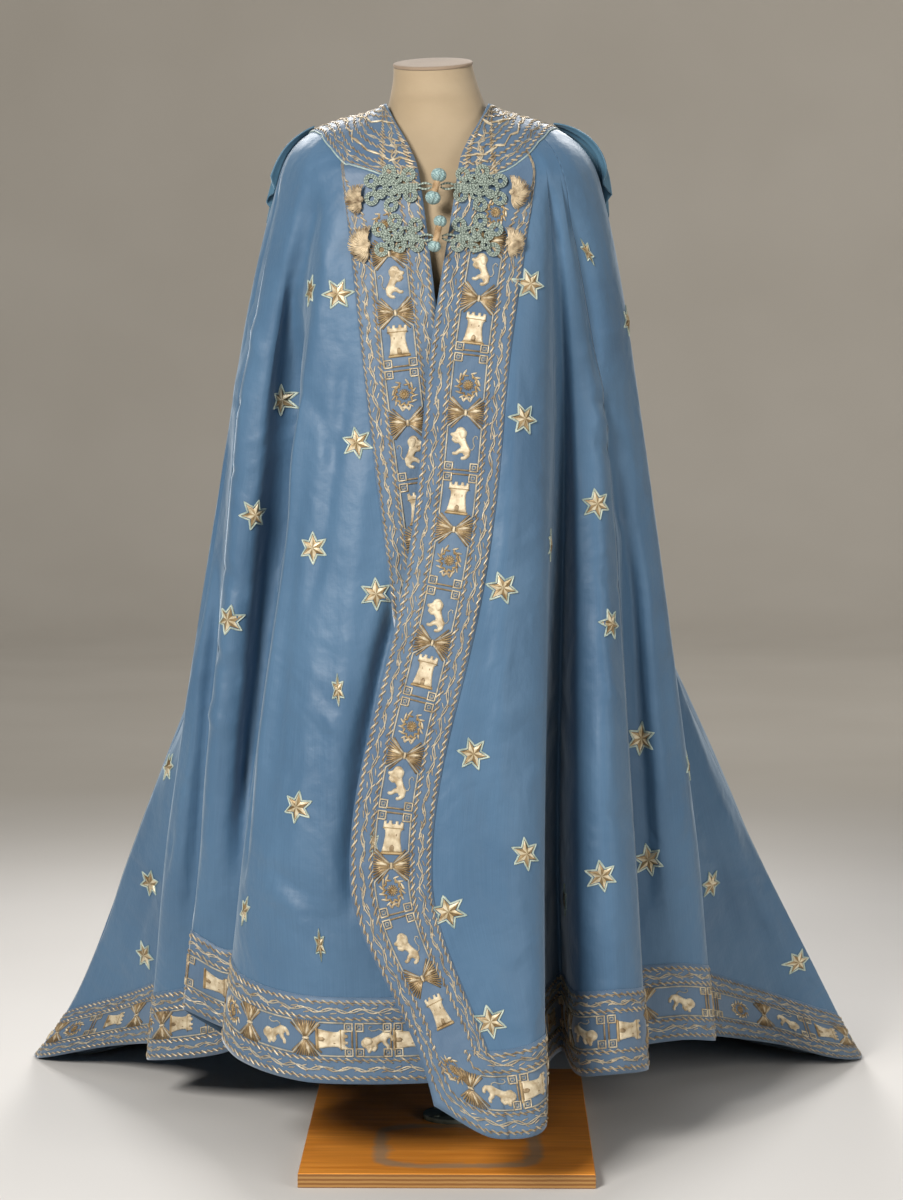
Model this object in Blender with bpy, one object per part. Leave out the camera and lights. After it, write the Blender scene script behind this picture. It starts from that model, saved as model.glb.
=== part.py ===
"""A full-length silk mantle with a train, worn by a limbless dress form on a wooden board.

Metres, +Z up, the wearer faces -Y. Left and right are the viewer's, seen from the front.
The cloth is one surface over "ribs": lines that run down the cloth from the neck to the hem,
one for each ridge, flank and valley of its folds, in order from the left front edge round the
back to the right front edge. Panels, borders and collar are cut from the same grid of points.
"""

import math
from collections import namedtuple

import bpy
import numpy as np
from mathutils import Matrix, Vector
from mathutils.geometry import delaunay_2d_cdt

MM = 0.001
SEAM_GAP = 0.3 * MM
SEAM_SIDE = 0.25 * MM

# Cloth thicknesses, and how far the pieces that lie on the cloth stand off it.
CLOTH_WALL = 2.0 * MM
BORDER_LOW = SEAM_GAP
BORDER_HIGH = 1.5 * MM
COLLAR_HIGH = 2.3 * MM
APPLIQUE_LOW = 2.7 * MM
FROG_WALL = 3.5 * MM

# Widths of the embroidered borders.
FRONT_BORDER = 111 * MM
HEM_BORDER = 117 * MM

# The collar's length from the neckline at turns round the form, in millimetres.
COLLAR_TURNS = (0, 15, 30, 45, 60, 75, 90, 120, 180, 240, 270, 285, 300, 315, 330, 345, 360)
COLLAR_LENGTHS = (
    (175, 170, 148, 124, 112, 116, 128, 140)
    + (155,)
    + (128, 118, 108, 104, 110, 132, 160, 168)
)

# Where each rib crosses the neck, the crest of the shoulders and the ring below them. A turn is
# an angle round the form: 0 at the front, 90 at the left, 180 at the back. The first and last
# rib are the front edges, which part from each other towards the neck.
Ring = namedtuple("Ring", "centre_x centre_y half_x half_y first_turn side_z front_z back_z")
NECK = Ring(-16.5, -16, 78, 80, 72, 1490, 1490, 1498)
CREST = Ring(-16.5, 0, 183, 110, 11.5, 1451, 1417, 1450)
SHOULDER = Ring(-14.5, 0, 231, 142, 6, 1380, 1366, 1380)

# Heights of the two levels of the rib tables, and where the levels lie along a rib.
ELBOW_Z = 1050
SHIN_Z = 450
ANKLE_SHARE = 0.6
STATION = (0.0, 0.07, 0.14, 0.36, 0.72, 0.87, 1.0)

# Each rib of the left front and side, in millimetres: its turn on the shoulder ring, its place
# at the two levels and at the hem, how far it sags onto the floor, how much it swings with the
# right front's edge, and how far to the right it is drawn out just above the hem.
Rib = namedtuple(
    "Rib", "name turn elbow_x elbow_y shin_x shin_y hem_x hem_y hem_z sag sway flare", defaults=(0,)
)
LEFT_RIBS = (
    Rib("left_edge", 6, 0, -156, 75, -190, 90, -205, 150, 0, 0),
    Rib("left_band", 34, -108, -150, -32, -203, -10, -215, 148, 0, 0),
    Rib("left_front", 37, -150, -143, -130, -207, -115, -208, 144, 0, 0),
    Rib("left_front_side", 40, -182, -128, -222, -180, -205, -195, 146, 0, 0),
    Rib("left_fold", 43, -203, -105, -280, -122, -290, -125, 158, 0, 0),
    Rib("left_fold_back", 46, -212, -75, -285, -70, -318, -70, 178, 0, 0),
    Rib("left_valley", 50, -228, -42, -268, -10, -288, 0, 172, 0, 0),
    Rib("left_column_in", 58, -262, -44, -320, -8, -326, 36, 168, 0, 0),
    Rib("left_seam", 80, -296, -15, -356, 28, -384, 50, 190, 0, 0),
    Rib("left_gap", 86, -309, 12, -338, 95, -318, 150, 112, 0, 0),
    Rib("left_side", 94, -315, 45, -412, 138, -458, 270, 66, 0, 0),
    Rib("left_side_gap", 102, -303, 88, -404, 212, -450, 345, 72, 0, 0),
    Rib("left_train", 110, -284, 128, -432, 265, -540, 455, 45, 0.1, 0, 6),
    Rib("left_corner", 122, -228, 190, -462, 330, -671, 560, 2, 0.17, 0, 5),
)
RIGHT_RIBS = (
    Rib("right_corner", 238, 178, 190, 440, 312, 671, 560, 2, 0.3, 0, 24),
    Rib("right_ridge", 242, 196, 178, 430, 285, 620, 508, 14, 0.1, 0, 10),
    Rib("right_train", 246, 214, 165, 416, 262, 530, 465, 45, 0.1, 0, 6),
    Rib("right_side_gap", 254, 250, 130, 352, 190, 385, 300, 98, 0, 0),
    Rib("right_side", 266, 279, 72, 360, 104, 394, 152, 122, 0, 0),
    Rib("right_side_in", 282, 262, 32, 308, 62, 340, 108, 133, 0, 0),
    Rib("right_gap", 298, 241, 8, 254, 62, 266, 72, 128, 0, 0),
    Rib("right_seam", 310, 221, -12, 263, -36, 281, -45, 126, 0, 0),
    Rib("right_column", 312, 201, -36, 225, -82, 233, -96, 131, 0, 0),
    Rib("right_column_in", 314, 179, -46, 178, -62, 184, -76, 124, 0, 0),
    Rib("right_valley", 317, 163, -26, 158, 62, 165, 92, 121, 0, 0),
    Rib("right_valley_in", 319, 150, -50, 128, -40, 128, -55, 116, 0, 0),
    Rib("right_fold", 321, 140, -116, 130, -196, 130, -262, 103, 0, 0),
    Rib("right_fold_front", 322.5, 131, -138, 121, -223, 119, -290, 97, 0, 0.2),
    Rib("right_front", 324, 112, -155, 105, -238, 95, -300, 94, 0, 0.45),
    Rib("right_band", 326, 78, -168, 76, -248, 56, -303, 98, 0, 0.95),
    Rib("right_edge", 354, -31, -172, -25, -246, -8, -290, 135, 0, 1),
)

# The right front's edge swings to the left at shin height.
SWAY = -109
SWAY_Z = 430
SWAY_ABOVE = 240
SWAY_BELOW = 140

# The hidden back: soft folds between the two corners, on half ellipses at each level.
Arc = namedtuple("Arc", "centre_x half_x start_y depth fold")
BACK_RIBS = 11
BACK_ELBOW = Arc(-25, 203, 190, 52, 7)
BACK_SHIN = Arc(-11, 447, 321, 150, 18)
BACK_HEM = Arc(0, 671, 560, 375, 12)
BACK_SAG = 0.75
BACK_HEM_Z = 2

# The grid: rows under the collar, down the cloth and across the hem border.
COLLAR_ROWS = 3
CLOTH_ROWS = 13
BORDER_ROWS = 2
BORDER_COLUMNS = 2
ROW_CROWDING = 1.25
WIDEST_REACH = 2.0
LONGEST_STEP = 58 * MM
PATH_SAMPLES = 120

# The stand and the form. The neck's top is cut at a slant, higher at the back and to the right.
BOARD_WIDTH = 405 * MM
BOARD_DEPTH = 610 * MM
BOARD_THICKNESS = 20 * MM
BOARD_CENTRE_X = 0.5 * MM
BOARD_CENTRE_Y = 106 * MM
BOARD_TURN = -0.7
BOARD_BEVEL = 1.2 * MM
FLANGE_RADIUS = 43 * MM
FLANGE_HEIGHT = 7 * MM
POLE_RADIUS = 12 * MM
POLE_X = 5 * MM
POLE_Y = 106 * MM
POLE_SIDES = 24
NECK_SLANT = 0.25
NECK_ROLL = 0.035
CAP_THICKNESS = 5 * MM
CAP_OVERHANG = 0.8 * MM
TORSO_SIDES = 32
TorsoRing = namedtuple("TorsoRing", "height half_x half_y centre_x centre_y slant")
TORSO_RINGS = (
    TorsoRing(862, 98, 82, -2, 52, 0),
    TorsoRing(866, 110, 92, -2, 52, 0),
    TorsoRing(960, 122, 98, -5, 44, 0),
    TorsoRing(1080, 136, 108, -9, 28, 0),
    TorsoRing(1190, 156, 124, -12, 10, 0),
    TorsoRing(1290, 178, 131, -13, 0, 0),
    TorsoRing(1350, 190, 126, -14, 0, 0),
    TorsoRing(1395, 184, 108, -15, 0, 0),
    TorsoRing(1426, 150, 86, -16, -1, 0),
    TorsoRing(1446, 108, 70, -16, -4, 0),
    TorsoRing(1468, 80, 58, -17, -8, 0),
    TorsoRing(1488, 70.5, 55, -17, -10, 0.1),
    TorsoRing(1508, 64, 56, -19, -12, 0.4),
    TorsoRing(1530, 58.5, 53, -21, -12, 0.8),
    TorsoRing(1547, 56, 52, -23, -12, 1),
)

# A frog's half, from the middle of its scrolls: rings of cord, out from the opening and up.
Disc = namedtuple("Disc", "out up radius hole")
UPPER_DISCS = (
    Disc(31, 9, 10.5, 4.4),
    Disc(6, 22, 10.5, 4.4),
    Disc(-21, 17, 10.5, 4.4),
    Disc(30, -16, 10.5, 4.4),
    Disc(-24, -12, 10.5, 4.4),
    Disc(3, -25, 10.5, 4.4),
    Disc(3, -1, 17, 0),
    Disc(-12, 3, 13, 0),
    Disc(19, -3, 12, 0),
)
LOWER_DISCS = (
    Disc(27, 12, 10.5, 4.4),
    Disc(5, 24, 10.5, 4.4),
    Disc(-24, 18, 10.5, 4.4),
    Disc(-26, -10, 10.5, 4.4),
    Disc(23, -16, 10.5, 4.4),
    Disc(0, -8, 17, 0),
    Disc(-10, 6, 14, 0),
    Disc(10, 4, 14, 0),
)
DISC_SIDES = 10
HOLE_SIDES = 6
TONGUE_HALF_HEIGHT = 4.5
TONGUE_LIFT = 4 * MM

Frog = namedtuple("Frog", "x z side tongue_end discs")
FROGS = {
    "frog_upper_left": Frog(-77, 1365, -1, -23.5, UPPER_DISCS),
    "frog_upper_right": Frog(40, 1365, 1, -11.5, UPPER_DISCS),
    "frog_lower_left": Frog(-70, 1294, -1, -21.5, LOWER_DISCS),
    "frog_lower_right": Frog(38, 1294, 1, -9.5, LOWER_DISCS),
}

# A toggle: a tube with a knob on each end, standing a little askew in front of the opening.
Toggle = namedtuple("Toggle", "top_x top_z foot_x foot_z y")
TOGGLES = {
    "toggle_upper": Toggle(-14, 1379, -22, 1348, -163),
    "toggle_lower": Toggle(-12, 1315, -20, 1281, -172),
}
TOGGLE_RADIUS = 4.6 * MM
KNOB_RADIUS = 8.5 * MM

# A tassel: locks that spread like a shell from a small round head.
Tassel = namedtuple("Tassel", "head_x z side length")
TASSELS = {
    "tassel_upper_left": Tassel(-123, 1348, -1, 20),
    "tassel_upper_right": Tassel(87, 1358, 1, 23),
    "tassel_lower_left": Tassel(-112, 1285, -1, 25),
    "tassel_lower_right": Tassel(82, 1288, 1, 19),
}
TASSEL_LOCKS = 12
TASSEL_SPREAD = 176
TASSEL_HEAD = 3.6 * MM
TASSEL_THICK = 4 * MM
TASSEL_LIFT = 1.7 * MM
LOCK_SHARE = 0.46
TASSEL_SIDES = 12

# The hood: a gathered drape behind the shoulders, from the collar to a ruffled outer edge.
HOOD_ROWS = 3
HOOD_RUFFLES = 26
HOOD_SAMPLES = 4
HOOD_FIRST_TURN = 92
HOOD_DROP = 300 * MM
HOOD_SIDE_DROP = 75 * MM
HOOD_UNDER_COLLAR = 12 * MM
HOOD_LIFT = 5.5 * MM
HOOD_PUFF = 20 * MM
HOOD_PUFF_LEFT = 1 * MM
HOOD_PUFF_RIGHT = 9 * MM
HOOD_RUFFLE = 3.5 * MM

SILK = ("silk", (0.25, 0.40, 0.60), 0.42, 0.0)
BORDER_SILK = ("border_silk", (0.33, 0.38, 0.47), 0.6, 0.1)
LINEN = ("linen", (0.66, 0.53, 0.38), 0.85, 0.0)
CAP_LINEN = ("cap_linen", (0.36, 0.30, 0.24), 0.85, 0.0)
WOOD = ("plywood", (0.46, 0.22, 0.06), 0.5, 0.0)
STEEL = ("stand_steel", (0.12, 0.12, 0.12), 0.4, 0.9)
CORD = ("frog_cord", (0.40, 0.48, 0.45), 0.7, 0.1)
TOGGLE_THREAD = ("toggle_thread", (0.50, 0.50, 0.40), 0.7, 0.1)
TASSEL_THREAD = ("tassel_thread", (0.55, 0.42, 0.27), 0.7, 0.1)
HOOD_SILK = ("hood_silk", (0.10, 0.22, 0.36), 0.45, 0.0)


def ring_point(ring, turn, first):
    """The point where a rib of this turn crosses a ring, with the front edges spread to first."""
    share = (turn - SHOULDER.first_turn) / (360 - 2 * SHOULDER.first_turn)
    angle = math.radians(first + share * (360 - 2 * first))
    front = max(0.0, math.cos(angle)) ** 2
    back = max(0.0, -math.cos(angle)) ** 2
    height = ring.side_z + (ring.front_z - ring.side_z) * front + (ring.back_z - ring.side_z) * back
    return (
        ring.centre_x - ring.half_x * math.sin(angle),
        ring.centre_y - ring.half_y * math.cos(angle),
        height,
    )


def back_rib(number):
    """A rib of the hidden back, which is a ridge where its number is even."""
    angle = math.pi * number / (BACK_RIBS + 1)
    fold = 1 if number % 2 else -1
    places = []
    for arc in (BACK_ELBOW, BACK_SHIN, BACK_HEM):
        across = arc.half_x + fold * arc.fold
        depth = arc.depth + fold * arc.fold
        places += [arc.centre_x - across * math.cos(angle), arc.start_y + depth * math.sin(angle)]
    left = LEFT_RIBS[-1].turn
    turn = left + (RIGHT_RIBS[0].turn - left) * number / (BACK_RIBS + 1)
    return Rib(f"back_{number}", turn, *places, BACK_HEM_Z, BACK_SAG, 0)


def stations(rib):
    """The seven points that a rib passes, from the neck to the hem, in metres."""
    points = [ring_point(ring, rib.turn, ring.first_turn) for ring in (NECK, CREST, SHOULDER)]
    points.append((rib.elbow_x, rib.elbow_y, ELBOW_Z))
    points.append((rib.shin_x, rib.shin_y, SHIN_Z))
    keep = 1 - ANKLE_SHARE
    ankle_z = keep * SHIN_Z + ANKLE_SHARE * rib.hem_z
    points.append(
        (
            keep * rib.shin_x + ANKLE_SHARE * rib.hem_x + rib.flare,
            keep * rib.shin_y + ANKLE_SHARE * rib.hem_y,
            ankle_z * (1 - rib.sag),
        )
    )
    points.append((rib.hem_x, rib.hem_y, rib.hem_z))
    return np.array(points) * MM


RIBS = LEFT_RIBS + tuple(back_rib(n) for n in range(1, BACK_RIBS + 1)) + RIGHT_RIBS
NAMES = [rib.name for rib in RIBS]
POINTS = np.array([stations(rib) for rib in RIBS])
TURNS = np.array([float(rib.turn) for rib in RIBS])
PLACES = np.arange(len(RIBS), dtype=float)


def lengths(points):
    """How far along a path each of its points is."""
    steps = np.linalg.norm(np.diff(points, axis=0), axis=1)
    return np.concatenate([[0.0], np.cumsum(steps)])


ROUND = [lengths(POINTS[:, level]) for level in range(len(STATION))]
SWAYS = np.array([float(rib.sway) for rib in RIBS])


def spline_weights(knots, at):
    """The weights that a smooth curve through the knots gives each knot, one row for each place."""
    knots = np.asarray(knots, float)
    at = np.clip(np.atleast_1d(np.asarray(at, float)), knots[0], knots[-1])
    count = len(knots)
    slopes = np.zeros((count, count))
    for i in range(count):
        low = max(i - 1, 0)
        high = min(i + 1, count - 1)
        slopes[i, high] += 1 / (knots[high] - knots[low])
        slopes[i, low] -= 1 / (knots[high] - knots[low])
    span = np.clip(np.searchsorted(knots, at, side="right") - 1, 0, count - 2)
    width = knots[span + 1] - knots[span]
    s = (at - knots[span]) / width
    start = 2 * s**3 - 3 * s**2 + 1
    start_slope = (s**3 - 2 * s**2 + s) * width
    end_slope = (s**3 - s**2) * width
    weights = start_slope[:, None] * slopes[span] + end_slope[:, None] * slopes[span + 1]
    rows = np.arange(len(at))
    weights[rows, span] += start
    weights[rows, span + 1] += 1 - start
    return weights


def cloth(rib, along):
    """Points of the cloth's outer face, at places between the ribs and along them."""
    rib = np.asarray(rib, float)
    down = spline_weights(STATION, np.asarray(along, float).ravel())
    points = np.zeros((rib.size, 3))
    for level, reached in enumerate(ROUND):
        across = spline_weights(reached, np.interp(rib.ravel(), PLACES, reached))
        points += down[:, level, None] * (across @ POINTS[:, level])
    height = points[:, 2] / MM
    reach = np.where(height > SWAY_Z, SWAY_ABOVE, SWAY_BELOW)
    swing = np.exp(-(((height - SWAY_Z) / reach) ** 2) / 2)
    points[:, 0] += SWAY * MM * np.interp(rib.ravel(), PLACES, SWAYS) * swing
    return points.reshape(rib.shape + (3,))


def outward(rib, along):
    """Unit normals of the cloth's outer face."""
    step = 0.01
    rib = np.asarray(rib, float)
    along = np.asarray(along, float)
    high_rib = np.clip(rib + step, 0, len(RIBS) - 1)
    low_rib = np.clip(rib - step, 0, len(RIBS) - 1)
    round_way = cloth(high_rib, along) - cloth(low_rib, along)
    down_way = cloth(rib, np.clip(along + step, 0, 1)) - cloth(rib, np.clip(along - step, 0, 1))
    normal = np.cross(round_way, down_way)
    return normal / np.linalg.norm(normal, axis=-1, keepdims=True)


def collar_length(turn):
    """How far the collar reaches from the neckline."""
    return float(np.interp(turn, COLLAR_TURNS, COLLAR_LENGTHS)) * MM


def border_reach(edge, band, along):
    """The place between the ribs where the front border's inner side lies."""
    reach = np.linspace(edge, edge + WIDEST_REACH * (band - edge), 40)
    path = cloth(reach, np.full_like(reach, along))
    return float(np.interp(FRONT_BORDER, lengths(path), reach))


BACK_OF_LEFT = NAMES.index("left_seam")
BACK_OF_RIGHT = NAMES.index("right_seam")
LAST = len(RIBS) - 1


def column_places():
    """For each column of the grid, its place between the ribs at PATH_SAMPLES places down it."""
    along = np.linspace(0, 1, PATH_SAMPLES)
    left_reach = np.array([border_reach(0, 1, a) for a in along])
    right_reach = np.array([border_reach(LAST, LAST - 1, a) for a in along])
    columns = []
    for i in range(BORDER_COLUMNS):
        columns.append(left_reach * i / BORDER_COLUMNS)
    for rib in range(1, LAST - 1):
        ends = POINTS[rib : rib + 2]
        span = max(np.linalg.norm(ends[1, k] - ends[0, k]) for k in (4, 5))
        steps = min(4, max(1, math.ceil(span / LONGEST_STEP)))
        for i in range(steps):
            columns.append(np.full(PATH_SAMPLES, rib + i / steps))
    columns.append(np.full(PATH_SAMPLES, float(LAST - 1)))
    for i in range(BORDER_COLUMNS):
        columns.append(LAST - (LAST - right_reach) * (BORDER_COLUMNS - 1 - i) / BORDER_COLUMNS)
    columns = np.array(columns)
    # The columns of each front panel are drawn in from its second rib to its border's side.
    left = (columns >= 1) & (columns < BACK_OF_LEFT)
    left[:BORDER_COLUMNS] = False
    share = (columns - 1) / (BACK_OF_LEFT - 1)
    columns = np.where(left, left_reach + share * (BACK_OF_LEFT - left_reach), columns)
    right = (columns > BACK_OF_RIGHT) & (columns <= LAST - 1)
    right[-BORDER_COLUMNS:] = False
    share = (columns - BACK_OF_RIGHT) / (LAST - 1 - BACK_OF_RIGHT)
    drawn = BACK_OF_RIGHT + share * (right_reach - BACK_OF_RIGHT)
    return along, np.where(right, drawn, columns)


def make_grid():
    """Rib places, places along the ribs, points and normals of every column and row."""
    samples, columns = column_places()
    ribs = []
    alongs = []
    for column in columns:
        path = cloth(column, samples)
        reached = lengths(path)
        turn = float(np.interp(column[0], PLACES, TURNS))
        collar = collar_length(turn)
        hem = reached[-1] - HEM_BORDER
        down = [collar * i / COLLAR_ROWS for i in range(COLLAR_ROWS)]
        for i in range(CLOTH_ROWS):
            down.append(collar + (hem - collar) * (i / CLOTH_ROWS) ** ROW_CROWDING)
        down += [hem + HEM_BORDER * i / BORDER_ROWS for i in range(BORDER_ROWS + 1)]
        along = np.interp(down, reached, samples)
        alongs.append(along)
        ribs.append(np.interp(along, samples, column))
    ribs = np.array(ribs)
    alongs = np.array(alongs)
    return ribs, cloth(ribs, alongs), outward(ribs, alongs)


GRID_RIBS, GRID_POINTS, GRID_NORMALS = make_grid()
COLUMNS = len(GRID_RIBS)
HEM_ROW = COLLAR_ROWS + CLOTH_ROWS + BORDER_ROWS
BORDER_ROW = COLLAR_ROWS + CLOTH_ROWS
LEFT_SEAM = int(np.argmin(np.abs(GRID_RIBS[:, HEM_ROW] - BACK_OF_LEFT)))
RIGHT_SEAM = int(np.argmin(np.abs(GRID_RIBS[:, HEM_ROW] - BACK_OF_RIGHT)))
LEFT_CORNER = int(np.argmin(np.abs(GRID_RIBS[:, HEM_ROW] - NAMES.index("left_corner"))))
RIGHT_CORNER = int(np.argmin(np.abs(GRID_RIBS[:, HEM_ROW] - NAMES.index("right_corner"))))
BACK_LEFT_SEAM = int(np.argmin(np.abs(GRID_RIBS[:, HEM_ROW] - NAMES.index("back_4"))))
BACK_RIGHT_SEAM = int(np.argmin(np.abs(GRID_RIBS[:, HEM_ROW] - NAMES.index("back_8"))))


def material(finish):
    name, colour, roughness, metallic = finish
    found = bpy.data.materials.get(name)
    if found:
        return found
    made = bpy.data.materials.new(name)
    made.use_nodes = True
    shader = made.node_tree.nodes["Principled BSDF"]
    shader.inputs["Base Color"].default_value = (*colour, 1)
    shader.inputs["Roughness"].default_value = roughness
    shader.inputs["Metallic"].default_value = metallic
    made.diffuse_color = (*colour, 1)
    return made


def make_object(name, points, faces, finish, smooth_angle=75):
    mesh = bpy.data.meshes.new(name)
    mesh.from_pydata([tuple(map(float, p)) for p in points], [], faces)
    mesh.validate()
    mesh.shade_smooth()
    mesh.set_sharp_from_angle(angle=math.radians(smooth_angle))
    mesh.materials.append(material(finish))
    made = bpy.data.objects.new(name, mesh)
    bpy.context.scene.collection.objects.link(made)
    return made


def wall(name, outer, inner, finish):
    """A closed wall between two grids of points, columns by rows."""
    columns, rows = outer.shape[:2]
    points = np.concatenate([outer.reshape(-1, 3), inner.reshape(-1, 3)])
    under = columns * rows

    def at(i, j):
        return i * rows + j

    faces = []
    for i in range(columns - 1):
        for j in range(rows - 1):
            # Every piece is split along the same diagonals, so that pieces lie flat on each other.
            a, b, c, d = at(i, j), at(i + 1, j), at(i + 1, j + 1), at(i, j + 1)
            for corners in ((a, b, c), (a, c, d)):
                faces.append(corners)
                faces.append(tuple(under + k for k in reversed(corners)))
    rim = [at(i, 0) for i in range(columns)]
    rim += [at(columns - 1, j) for j in range(1, rows)]
    rim += [at(i, rows - 1) for i in range(columns - 2, -1, -1)]
    rim += [at(0, j) for j in range(rows - 2, 0, -1)]
    for a, b in zip(rim, rim[1:] + rim[:1]):
        if b > a:
            faces += [(b, a, under + b), (a, under + a, under + b)]
        else:
            faces += [(b, a, under + a), (b, under + a, under + b)]
    return make_object(name, points, faces, finish)


def drawn_in(points, side):
    """The grid with one of its rims drawn in for a seam."""
    points = points.copy()
    rim = {"first": (0, 1), "last": (-1, -2)}
    if side in rim:
        edge, inside = rim[side]
        way = points[inside] - points[edge]
        points[edge] += way / np.linalg.norm(way, axis=-1, keepdims=True) * SEAM_SIDE
    elif side == "top":
        way = points[:, 1] - points[:, 0]
        points[:, 0] += way / np.linalg.norm(way, axis=-1, keepdims=True) * 2 * SEAM_GAP
    return points


def cut(name, first, last, top, bottom, low, high, finish, sides):
    """A piece cut from the grid: columns first to last, rows top to bottom, between two heights."""
    points = GRID_POINTS[first : last + 1, top : bottom + 1]
    normals = GRID_NORMALS[first : last + 1, top : bottom + 1]
    faces = []
    for height in (high, low):
        moved = points + normals * height
        # The train lies on the floor, and what is on it lies higher by its own height.
        moved[..., 2] = np.maximum(moved[..., 2], height + CLOTH_WALL)
        for side in sides:
            moved = drawn_in(moved, side)
        faces.append(moved)
    return wall(name, faces[0], faces[1], finish)


def build_panels():
    seams = (
        ("front_left", 0, LEFT_SEAM, ("last",)),
        ("side_left", LEFT_SEAM, LEFT_CORNER, ("first", "last")),
        ("back_left", LEFT_CORNER, BACK_LEFT_SEAM, ("first", "last")),
        ("back_middle", BACK_LEFT_SEAM, BACK_RIGHT_SEAM, ("first", "last")),
        ("back_right", BACK_RIGHT_SEAM, RIGHT_CORNER, ("first", "last")),
        ("side_right", RIGHT_CORNER, RIGHT_SEAM, ("first", "last")),
        ("front_right", RIGHT_SEAM, COLUMNS - 1, ("first",)),
    )
    for name, first, last, sides in seams:
        cut(name, first, last, 0, HEM_ROW, -CLOTH_WALL, 0, SILK, sides)


def build_borders():
    inner = BORDER_COLUMNS
    last = COLUMNS - 1
    fronts = (
        ("front_border_left", 0, inner, ("top", "last")),
        ("front_border_right", last - inner, last, ("top", "first")),
    )
    for name, first, end, sides in fronts:
        cut(name, first, end, COLLAR_ROWS, HEM_ROW, BORDER_LOW, BORDER_HIGH, BORDER_SILK, sides)
    hems = (
        ("hem_border_front_left", inner, LEFT_SEAM),
        ("hem_border_side_left", LEFT_SEAM, LEFT_CORNER),
        ("hem_border_back", LEFT_CORNER, RIGHT_CORNER),
        ("hem_border_side_right", RIGHT_CORNER, RIGHT_SEAM),
        ("hem_border_front_right", RIGHT_SEAM, last - inner),
    )
    for name, first, end in hems:
        sides = ("first", "last")
        cut(name, first, end, BORDER_ROW, HEM_ROW, BORDER_LOW, BORDER_HIGH, BORDER_SILK, sides)


def build_collar():
    cut("collar", 0, COLUMNS - 1, 0, COLLAR_ROWS, BORDER_LOW, COLLAR_HIGH, BORDER_SILK, ())


def build_hood():
    """A drape behind the shoulders, from points of the cloth's back moved out and ruffled."""
    count = HOOD_RUFFLES * HOOD_SAMPLES + 1
    turns = np.linspace(HOOD_FIRST_TURN, 360 - HOOD_FIRST_TURN, count)
    samples = np.linspace(0, 0.6, PATH_SAMPLES)
    outer = []
    inner = []
    for number, turn in enumerate(turns):
        rib = float(np.interp(turn, TURNS, PLACES))
        path = cloth(np.full(PATH_SAMPLES, rib), samples)
        normals = outward(np.full(PATH_SAMPLES, rib), samples)
        reached = lengths(path)
        behind = max(0.0, -math.cos(math.radians(turn)))
        start = collar_length(turn) - HOOD_UNDER_COLLAR
        side_puff = HOOD_PUFF_LEFT if turn < 180 else HOOD_PUFF_RIGHT
        full_puff = side_puff + (HOOD_PUFF - side_puff) * behind**2
        drop = HOOD_SIDE_DROP + (HOOD_DROP - HOOD_SIDE_DROP) * behind**0.8
        wave = math.cos(math.pi * 2 * number / HOOD_SAMPLES)
        for face, side in ((outer, 1), (inner, 0)):
            column = []
            for j in range(HOOD_ROWS + 1):
                share = j / HOOD_ROWS
                place = start + drop * share
                point = np.array([np.interp(place, reached, path[:, k]) for k in range(3)])
                normal = np.array([np.interp(place, reached, normals[:, k]) for k in range(3)])
                puff = full_puff * math.sin(math.pi * share * 0.85)
                lift = HOOD_LIFT + puff + HOOD_RUFFLE * wave * share + side * CLOTH_WALL
                column.append(point + normal * lift)
            face.append(column)
    wall("hood", np.array(outer), np.array(inner), HOOD_SILK)


def front_depth(x, z, left):
    """The cloth's depth and its normal's share towards the front, at points of a front panel."""
    x = np.atleast_1d(np.asarray(x, float))
    z = np.atleast_1d(np.asarray(z, float))
    edge = 0.0 if left else float(LAST)
    way = 1 if left else -1
    ribs = edge + way * np.linspace(0, 1.6, 33)
    alongs = np.linspace(0.0, 0.4, 81)
    rib_table, along_table = np.meshgrid(ribs, alongs, indexing="ij")
    points = cloth(rib_table, along_table)
    normals = outward(rib_table, along_table)
    depth = np.empty(len(x))
    facing = np.empty(len(x))
    for n in range(len(x)):
        # On each rib the point at this height, then between the ribs the point at this x.
        at = [np.interp(-z[n], -points[i, :, 2], alongs) for i in range(len(ribs))]
        across = [np.interp(at[i], alongs, points[i, :, 0]) for i in range(len(ribs))]
        depths = [np.interp(at[i], alongs, points[i, :, 1]) for i in range(len(ribs))]
        facings = [np.interp(at[i], alongs, normals[i, :, 1]) for i in range(len(ribs))]
        sign = -1 if left else 1
        depth[n] = np.interp(sign * x[n], sign * np.array(across), depths)
        facing[n] = np.interp(sign * x[n], sign * np.array(across), facings)
    return depth, np.maximum(-facing, 0.5)


def polygon(centre_x, centre_z, radius, sides, start=0.5):
    angles = [2 * math.pi * (i + start) / sides for i in range(sides)]
    return [(centre_x + radius * math.cos(a), centre_z + radius * math.sin(a)) for a in angles]


def flat_union(shapes, holes):
    """Points and triangles of overlapping outlines made one, with the holes left open."""
    corners = []
    outlines = []
    for shape in shapes + holes:
        outlines.append([len(corners) + i for i in range(len(shape))])
        corners += [Vector(p) for p in shape]
    points, _, faces, _, _, sources = delaunay_2d_cdt(corners, [], outlines, 0, 1e-5, True)
    kept = []
    for face, source in zip(faces, sources):
        if source and all(s < len(shapes) for s in source):
            kept.append(list(face))
    used = sorted({i for face in kept for i in face})
    number = {old: new for new, old in enumerate(used)}
    return [points[i] for i in used], [[number[i] for i in face] for face in kept]


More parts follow.
